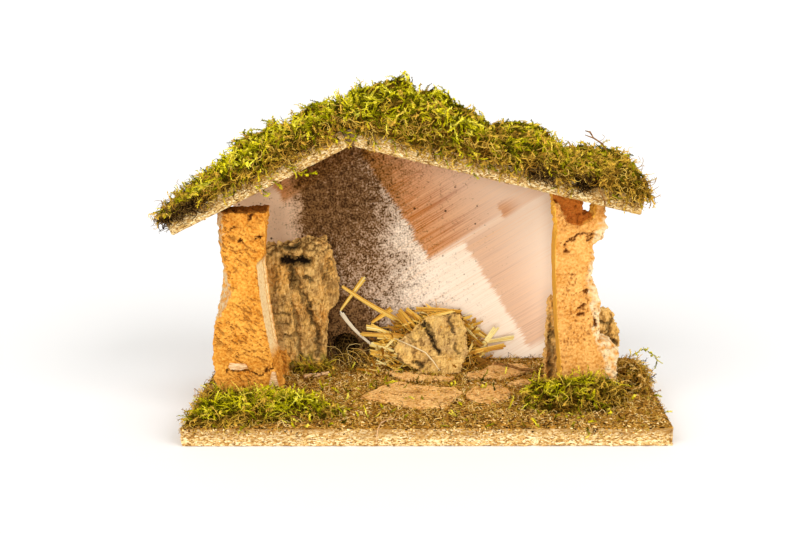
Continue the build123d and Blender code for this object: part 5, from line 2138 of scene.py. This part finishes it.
@dataclass
class StrawBed:
    """The straw behind the manger bark: a heap, loose straws over it and the long stalks that stand out."""

    width: float = 4.8
    shrink: float = 4.5
    # The hole in the panel as X, Z and radius
    hole: Spot = (-64.4, 24.0, 10.5)
    against: float = PANEL_FRONT - 0.4
    # Length and width of the loose straws, and length and curl of the fibres between them
    straws: tuple[tuple[float, float], ...] = (
        (16.0, 1.8), (22.0, 3.2), (30.0, 2.2), (20.0, 1.4), (13.0, 3.6), (26.0, 1.2))
    fibres: tuple[tuple[float, float], ...] = ((20.0, 6.0), (26.0, 9.0), (15.0, 5.0))
    # Stalks as places from the manger's left edge, forward from the panel and up from the ground, each from
    # its wide end
    stalks: tuple[tuple[Spot, ...], ...] = (
        ((-23.5, 6, 68.6), (-43.7, 7, 41.3)), ((15, 14, 27.7), (-22, 12, 49), (-43, 11, 63.6)),
        ((14, 15, 44.5), (32, 17, 45), (53, 15, 42.5)), ((2, 19, 43), (13, 19, 28)),
        ((79, 19, 32), (60, 19, 4.5)), ((85.5, 24, 17.5), (70, 25, 15), (54, 24, 11)),
        ((92.7, 12, 20.5), (58, 13, 15)),
        ((71, 9, 20), (50, 9, 37)), ((-20.6, 15, 32), (3, 18, 21)), ((-27.6, 19, 26), (8, 22, 24.8)),
        ((-20, 24, 13), (2, 26, 10)), ((-2.5, 12, 44.5), (-19, 13, 33)),
        ((3, 17, 45), (9, 18, 39), (16, 18, 31)), ((8, 16, 45), (23.5, 17, 34)),
        ((16, 14, 45), (31, 15, 40)), ((23.5, 20, 39), (46, 19, 44.5)),
        ((-23, 16, 30.5), (-13, 17, 29), (-2.5, 17, 25)), ((-16, 22, 14), (-2.5, 23, 16)),
        ((-20, 24, 19.5), (-0.5, 25, 13.5)), ((55, 14, 32), (62, 15, 27), (70, 15, 21)),
        ((-14, 20, 24), (3, 21, 23)))
    folded: tuple[Spot, ...] = ((-43.7, 7, 41.3), (-36, 8, 30), (-25.9, 9, 19.7), (-8, 11, 5))
    seed: int = 3

    def at(self, point: Spot) -> Vector:
        """Place of a straw point in the stable."""
        return Vector((MANGER_LEFT + point[0], PANEL_FRONT - point[1], GROUND + point[2]))

    def lay(self, name: str, lines: tuple[tuple[Spot, ...], ...], surface: Surface,
            replaced: tuple[str, ...] = ()) -> None:
        """Make flattened stalks along lines and dress them as one piece.

        Args:
            name: the piece's name.
            lines: the stalks' lines.
            surface: their finish.
            replaced: the solids that they stand for.
        """
        bundle = Bundle()
        draw = random.Random(self.seed)
        for line in lines:
            middle = [self.at(point) for point in line]
            width = self.width * draw.uniform(0.7, 1.1)
            tint = draw.uniform(0.35, 1.0)
            for sliver in blade(middle, (width, width * draw.uniform(0.3, 0.6)), draw):
                bundle.take(sliver, tint=tint + draw.uniform(-0.25, 0.2))
        settle(place(name, bundle.mesh(name)), surface, "straw", replaced)

    def build(self) -> None:
        """Make the heap smaller than its solid, strew straw over it and lay the stalks."""
        heap = skin("straw_heap_core", ["straw_heap"], 2.2)
        points = read(heap.data, "co")
        normals = read(heap.data, "normal")
        inward = -self.shrink + 1.5 * cloud(points, 8.0, self.seed)
        inward *= ramp(points[:, 2], GROUND, GROUND + 6)
        write(heap.data, points + normals * inward[:, None])
        store(heap.data, "cover", ramp(normals[:, 2], -0.6, -0.2) * ramp(normals[:, 1], 0.95, 0.6))
        straws = meshes([Straw(length, width) for length, width in self.straws], 0)
        fibres = meshes([Strand(length, 0.28, curl, 0.8) for length, curl in self.fibres], 40)
        loose = Scatter(straws, 0.12, stand=0.12, wander=0.6, flow=(-0.5, -0.1, 0.1), rearmost=self.against,
                        seed=self.seed)
        loose.over("loose_straw", heap, Surface.STRAW, "straw")
        fine = Scatter(fibres, 0.03, stand=0.1, wander=0.9, flow=(0.0, 0.0, -0.3), rearmost=self.against,
                       seed=self.seed + 1)
        fine.over("straw_fibres", heap, Surface.STRAW, "straw")
        self.nest(fibres)
        self.fill_hole()
        settle(heap, Surface.HEAP, "straw", ("straw_heap",))
        self.lay("straw_stalks_long", self.stalks, Surface.STRAW, ("straw_stalks",))
        self.lay("straw_stalk_folded", (self.folded,), Surface.PALE_STRAW)

    def patch(self, name: str, middle: Spot, shape: Matrix, bits: Scatter, surface: Surface) -> None:
        """Strew bits over an oval patch that is then taken away.

        Args:
            name: the piece's name.
            middle: the patch's middle.
            shape: its tilt and reach.
            bits: what is strewn.
            surface: its finish.
        """
        disc = bmesh.new()
        bmesh.ops.create_circle(disc, cap_ends=True, segments=24, radius=MM)
        disc.transform(Matrix.Translation(Vector(middle) * MM) @ shape)
        mesh = from_form(name + "_ground", disc)
        store(mesh, "cover", np.ones(len(mesh.vertices)))
        ground = place(mesh.name, mesh)
        bits.over(name, ground, surface, "straw")
        bpy.data.objects.remove(ground)

    def nest(self, fibres: list[Mesh]) -> None:
        """Strew brown fibres and dark roots between the heap and the hole.

        Args:
            fibres: their meshes.
        """
        # Place to the right of the hole, place in front of the panel, depth and finish by name
        spread = {"nest_fibres": (24, 14, 13, Surface.LITTER), "nest_roots": (22, 13, 12, Surface.DARK_FIBRE)}
        for name, (right, out, depth, surface) in spread.items():
            middle = (self.hole[0] + right, PANEL_FRONT - out, GROUND + 2)
            bits = Scatter(fibres, 0.13, stand=0.2, wander=1.0, rearmost=self.against, seed=self.seed + 7)
            self.patch(name, middle, Matrix.Diagonal((30, depth, 1, 1)), bits, surface)

    def fill_hole(self) -> None:
        """Put a dark wisp into the panel's hole, and a near-black wad that paints the shade seen through it.
        """
        x, z, radius = self.hole
        wisps = [Strand(length, 0.4, 3.0, 1.0, 6).mesh(50 + length) for length in (5, 7, 9)]
        upright = Matrix.Rotation(math.radians(90.0), 4, "X") @ Matrix.Diagonal((radius, radius, 1, 1))
        bits = Scatter(wisps, 0.5, stand=0.2, wander=1.0, rearmost=PANEL_FRONT + 3.5, seed=self.seed + 7)
        self.patch("hole_wisp", (x, PANEL_FRONT + 1.5, z), upright, bits, Surface.DARK_FIBRE)
        # A near-black wad that paints the shade seen through the hole
        lump = bmesh.new()
        bmesh.ops.create_icosphere(lump, subdivisions=4, radius=1.0)
        lump.transform(Matrix.Translation((x, PANEL_MIDDLE, z)) @ Matrix.Diagonal((radius, 1.4, radius, 1)))
        mesh = from_form("hole_wad", lump)
        points = read(mesh, "co") * MM
        write(mesh, points + read(mesh, "normal") * (0.5 * cloud(points, 2.0, self.seed))[:, None])
        settle(place("hole_wad", mesh), Surface.DARK_FIBRE, "straw")


# The stable


def boards() -> list[WornPiece]:
    """The chipboard base, with its chipped corner, and roof.

    Returns:
        The boards.
    """
    low, high = box_corners("base_board")
    return [
        WornBoard("base_board", Surface.BASE_BOARD, "chipboard", 1.5, 1, chipped_corner=(high[0], low[1])),
        WornBoard("roof_board_left", Surface.LEFT_BOARD, "chipboard", 1.3, 2, pitch=LEFT_PITCH),
        WornBoard("roof_board_right", Surface.RIGHT_BOARD, "chipboard", 1.3, 3, pitch=-RIGHT_PITCH)]


def posts() -> list[WornPiece]:
    """The cork posts, each with the knots, cracks and saw lines that it shows.

    Returns:
        The left post and the right one.
    """
    left = CorkPost(
        "left_post", Surface.LEFT_CORK, "cork", 0.75, 3, knot_radius=1.7, crack_width=1.4, cut_low=46.0,
        cut_high=114.0, hewn=3.0,
        knots=[(-121.5, 145), (-135, 136.9), (-116.9, 130.7), (-128.7, 128)],
        cracks=[[(-118.1, 29.3), (-113.6, 33.8), (-108.5, 36.8)], [(-141, 33), (-128, 33.5), (-120, 29)]],
        saw_lines=[[(-136.3, 43.7), (-126, 47.4), (-119, 49)]],
        rind_edge=[(-141.5, 148), (-140.8, 133.8), (-143.3, 119.5), (-139.8, 105.7), (-137.3, 88.9),
                   (-143.6, 78), (-149.8, 67.6), (-153, 54.3)])
    right = CorkPost(
        "right_post", Surface.RIGHT_CORK, "cork", 0.75, 4, pit_slant=15.0, pit_size=(1.2, 2.0, 2.4),
        pit_level=0.2, knot_radius=1.9, crack_width=1.4, cut_side=-1, rind_side=1,
        knots=[(113.1, 90.5), (109.2, 78.9), (109.3, 73.8), (119.3, 67.1)],
        cracks=[[(96, 125), (101.8, 127.7), (106, 131.5), (110.6, 132.6)], [(111, 127), (115.5, 129)],
                [(96.5, 123), (98.5, 119.5)], [(112.5, 130.5), (116, 133)]],
        saw_lines=[[(88.9, 117.2), (104.1, 117.1)], [(89.1, 102.9), (104.4, 102.8)],
                   [(92.3, 42.9), (103.7, 42.8)]],
        rind_edge=[(125, 150), (116, 128), (112, 100), (115, 80), (119, 55), (126, 40), (128, 12)])
    return [left, right]


def large_barks() -> list[WornPiece]:
    """The bark at the left side and the bark of the manger, each with the ribs and clefts that it shows.

    Returns:
        The left bark and the manger.
    """
    left = BarkSlab(
        "left_side_bark", Surface.SIDE_BARK, "bark", 0.9, 6, ridge=(4.0, 8.0, 26.0), ridge_height=0.8,
        crumbly_top=104.0, green_foot=30.0,
        ribs=[([(-113, 97), (-110, 60), (-107, 16)], 11.0, 4.0), ([(-86, 106), (-85, 72)], 11.0, 3.5),
              ([(-97.5, 72), (-92, 16)], 5.0, 3.2), ([(-83, 64), (-80, 16)], 5.5, 3.2)],
        clefts=[([(-108, 101), (-101, 99), (-95, 100.5), (-90, 99)], 4.4, 7.0, 1.0),
                ([(-104, 98), (-101, 90), (-100, 80)], 3.6, 4.0, 0.55),
                ([(-99, 88), (-96, 77), (-95, 68)], 1.8, 2.6, 0.5),
                ([(-96, 77), (-92, 70), (-90.5, 64)], 1.4, 2.0, 0.6),
                ([(-103, 70), (-99.5, 45), (-98, 22)], 1.8, 2.2, 0.5),
                ([(-107.8, 112.5), (-103, 109), (-98, 111.5)], 3.0, 4.0, 0.85),
                ([(-93, 87), (-89, 84)], 2.2, 2.6, 0.75), ([(-80, 96), (-78.5, 80)], 1.4, 1.4, 0.4),
                ([(-90.5, 66), (-88.5, 56), (-87, 48)], 1.6, 2.4, 0.75),
                ([(-87, 50), (-84.5, 42), (-85, 24)], 2.0, 2.8, 0.65),
                ([(-116, 59), (-104.8, 59.6)], 1.4, 1.2, 0.6), ([(-110, 41.6), (-100, 42.2)], 1.4, 1.2, 0.6),
                ([(-114, 52), (-106, 50.5)], 1.2, 1.0, 0.45)])
    manger = BarkSlab(
        "manger_bark", Surface.MANGER_BARK, "bark", 0.7, 8, ridge=(3.0, 8.0, 11.0), ridge_height=0.5,
        torn=2.2,
        clefts=[([(-4, 52), (0, 45), (4, 37), (9, 29)], 1.8, 3.0, 0.95),
                ([(-0.5, 50.5), (4, 43), (7, 36)], 1.3, 1.6, 0.7),
                ([(16.4, 56.8), (18.5, 50), (20, 44)], 1.5, 2.0, 0.75), ([(-9, 22), (-4, 19)], 2.4, 3.0, 0.8),
                ([(-14, 40), (-8, 37)], 1.3, 1.2, 0.5), ([(22, 33), (24, 28)], 1.4, 1.6, 0.6)])
    return [left, manger]


def small_pieces() -> list[WornPiece]:
    """The slabs of the path, the bark at the right side, and chips and sticks.

    Returns:
        The pieces.
    """
    slabs = [TornSlab(f"path_slab_{number}", Surface.PATH_CORK, "path_cork", 0.7, 20 + number)
             for number in range(1, 6)]
    right_bark = BarkSlab(
        "right_side_bark", Surface.SIDE_BARK, "bark", 0.9, 7, ridge=(5.0, 5.0, 9.0), ridge_height=0.9,
        torn=1.8,
        clefts=[([(124, 61), (141, 59)], 1.8, 2.4, 0.75), ([(126, 47), (140, 45)], 2.2, 3.0, 0.8),
                ([(126, 35), (142, 32)], 2.4, 3.0, 0.85), ([(134, 62), (131, 18)], 1.6, 2.0, 0.6),
                ([(89, 66), (92, 40), (91, 16)], 2.4, 2.0, 0.6)])
    return [
        *slabs, right_bark, WornPiece("left_foot_chip", Surface.DRY_WOOD, "bark", 0.4, 9),
        WornPiece("left_foot_chunk", Surface.LEFT_CORK, "cork", 0.6, 10, lump_height=2.2),
        WornPiece("left_post_flake", Surface.DRY_WOOD, "dry_wood", 0.4, 11),
        WornPiece("ground_stick", Surface.DRY_WOOD, "dry_wood", 0.4, 12),
        WornPiece("dry_twig", Surface.TWIG, "dry_wood", 0.35, 13)]


def board_slivers(worn: list[Piece]) -> None:
    """Strew loose slivers that stand out of the boards' sawn edges.

    Args:
        worn: the boards' finished pieces.
    """
    sizes = ((3.4, 0.8, 0.5), (5.0, 0.9, 0.4), (2.2, 0.7, 0.6))
    for number, board in enumerate(worn):
        slivers = meshes([Crumb(size, 0.25) for size in sizes], 70)
        bits = Scatter(slivers, 0.12, scale=(0.6, 1.2), stand=1.0, wander=0.12, spin=0.4, seed=80 + number)
        bits.over(board.name.replace("_skin", "_slivers"), board, Surface.BASE_BOARD, "chipboard")


def dress_solids() -> None:
    """Finish the solids that show as they are."""
    wire = ("panel_base_brads", "panel_roof_brads", "left_post_nails", "right_post_nails", "roof_post_nails")
    finishes = {"back_panel": Surface.PANEL, "ridge_glue": Surface.GLUE} | dict.fromkeys(wire, Surface.STEEL)
    for node, surface in finishes.items():
        dress(frame["nodes"][node].data, surface)


# Studio


@dataclass(frozen=True)
class Studio:
    """A pale floor, soft light and a camera at the picture's view."""

    camera_place: Spot = (7.4, -771.8, 288.0)
    # Tilt down, turn and roll of the camera in degrees
    pitch: float = 13.28
    yaw: float = -1.90
    roll: float = 0.79
    lens: float = 50.0
    sensor: float = 36.0
    farthest: float = 100.0
    floor_colour: str = "#FBFBFB"
    # Rings of the floor as radius and height in metres, flat and then rising like a bowl
    rings: tuple[tuple[float, float], ...] = (
        (1.0, 0.0), (5.0, 0.0), (5.6, 0.04), (6.1, 0.15), (6.4, 0.32), (6.5, 0.5))
    floor_sides: int = 64
    floor_drop: float = 0.3
    sky_colour: str = "#FFFCF7"
    sky: float = 0.58
    # Soft suns as turn from straight ahead, height and softness in degrees, and strength
    suns: tuple[tuple[float, float, float, float], ...] = (
        (-40.0, 36.0, 45.0, 1.25), (50.0, 30.0, 45.0, 1.75), (-4.0, 8.5, 12.0, 1.15))

    def build(self) -> None:
        """Set the floor, the light and the camera."""
        bpy.context.scene.view_settings.view_transform = "Standard"
        self.lay_floor()
        self.light()
        self.aim()

    def lay_floor(self) -> None:
        """Lay a round floor that rises like a bowl far out."""
        drop = self.floor_drop * MM
        corners, faces = [(0.0, 0.0, -drop)], []
        for ring, (radius, height) in enumerate(self.rings):
            first = 1 + ring * self.floor_sides
            for side in range(self.floor_sides):
                angle = 2 * math.pi * side / self.floor_sides
                corners.append((radius * math.cos(angle), radius * math.sin(angle), height - drop))
                here = first + side
                after = first + (side + 1) % self.floor_sides
                inner = (0,) if ring == 0 else (after - self.floor_sides, here - self.floor_sides)
                faces.append((here, after, *inner))
        mesh = bpy.data.meshes.new("floor")
        mesh.from_pydata(corners, [], faces)
        floor = place("floor", mesh)
        pale = bpy.data.materials.new("pale floor")
        pale.use_nodes = True
        inputs = pale.node_tree.nodes["Principled BSDF"].inputs
        inputs["Base Color"].default_value = linear(self.floor_colour)
        inputs["Roughness"].default_value = 1.0
        mesh.materials.append(pale)

    def light(self) -> None:
        """Set the sky and the soft suns."""
        world = bpy.data.worlds.new("sky")
        world.use_nodes = True
        inputs = world.node_tree.nodes["Background"].inputs
        inputs[0].default_value = linear(self.sky_colour)
        inputs[1].default_value = self.sky
        bpy.context.scene.world = world
        for number, (turn, height, softness, strength) in enumerate(self.suns):
            around, up = math.radians(turn), math.radians(height)
            source = Vector((math.sin(around) * math.cos(up), -math.cos(around) * math.cos(up), math.sin(up)))
            data = bpy.data.lights.new(f"soft_sun_{number}", "SUN")
            data.angle = math.radians(softness)
            data.energy = strength
            sun = bpy.data.objects.new(data.name, data)
            sun.rotation_euler = (-source).to_track_quat("-Z", "Y").to_euler()
            bpy.context.scene.collection.objects.link(sun)

    def aim(self) -> None:
        """Place the camera from its turn, tilt and roll."""
        pitch, yaw, roll = (math.radians(angle) for angle in (self.pitch, self.yaw, self.roll))
        ahead = Vector((math.sin(yaw) * math.cos(pitch), math.cos(yaw) * math.cos(pitch), -math.sin(pitch)))
        right = Vector((math.cos(yaw), -math.sin(yaw), 0))
        down = ahead.cross(right)
        across = right * math.cos(roll) + down * math.sin(roll)
        up = right * math.sin(roll) - down * math.cos(roll)
        data = bpy.data.cameras.new("camera")
        data.lens = self.lens
        data.sensor_width = self.sensor
        data.sensor_fit = "HORIZONTAL"
        data.clip_end = self.farthest
        camera = bpy.data.objects.new("camera", data)
        turn = Matrix((across, up, -ahead)).transposed().to_4x4()
        camera.matrix_world = Matrix.Translation(Vector(self.camera_place) * MM) @ turn
        bpy.context.scene.collection.objects.link(camera)
        bpy.context.scene.camera = camera


def main() -> None:
    """Build the stable's looks and report each piece."""
    logging.basicConfig(level=logging.INFO, format="%(message)s")
    Studio().build()
    dress_solids()
    worn_boards = [board.build() for board in boards()]
    for piece in posts() + large_barks() + small_pieces():
        piece.build()
    board_slivers(worn_boards)
    EarthCoat().build()
    StrawBed().build()
    for piece in roof_moss() + ground_moss() + loose_shoots() + sticks():
        piece.build()
    fringes()


if __name__ == "__main__":
    main()
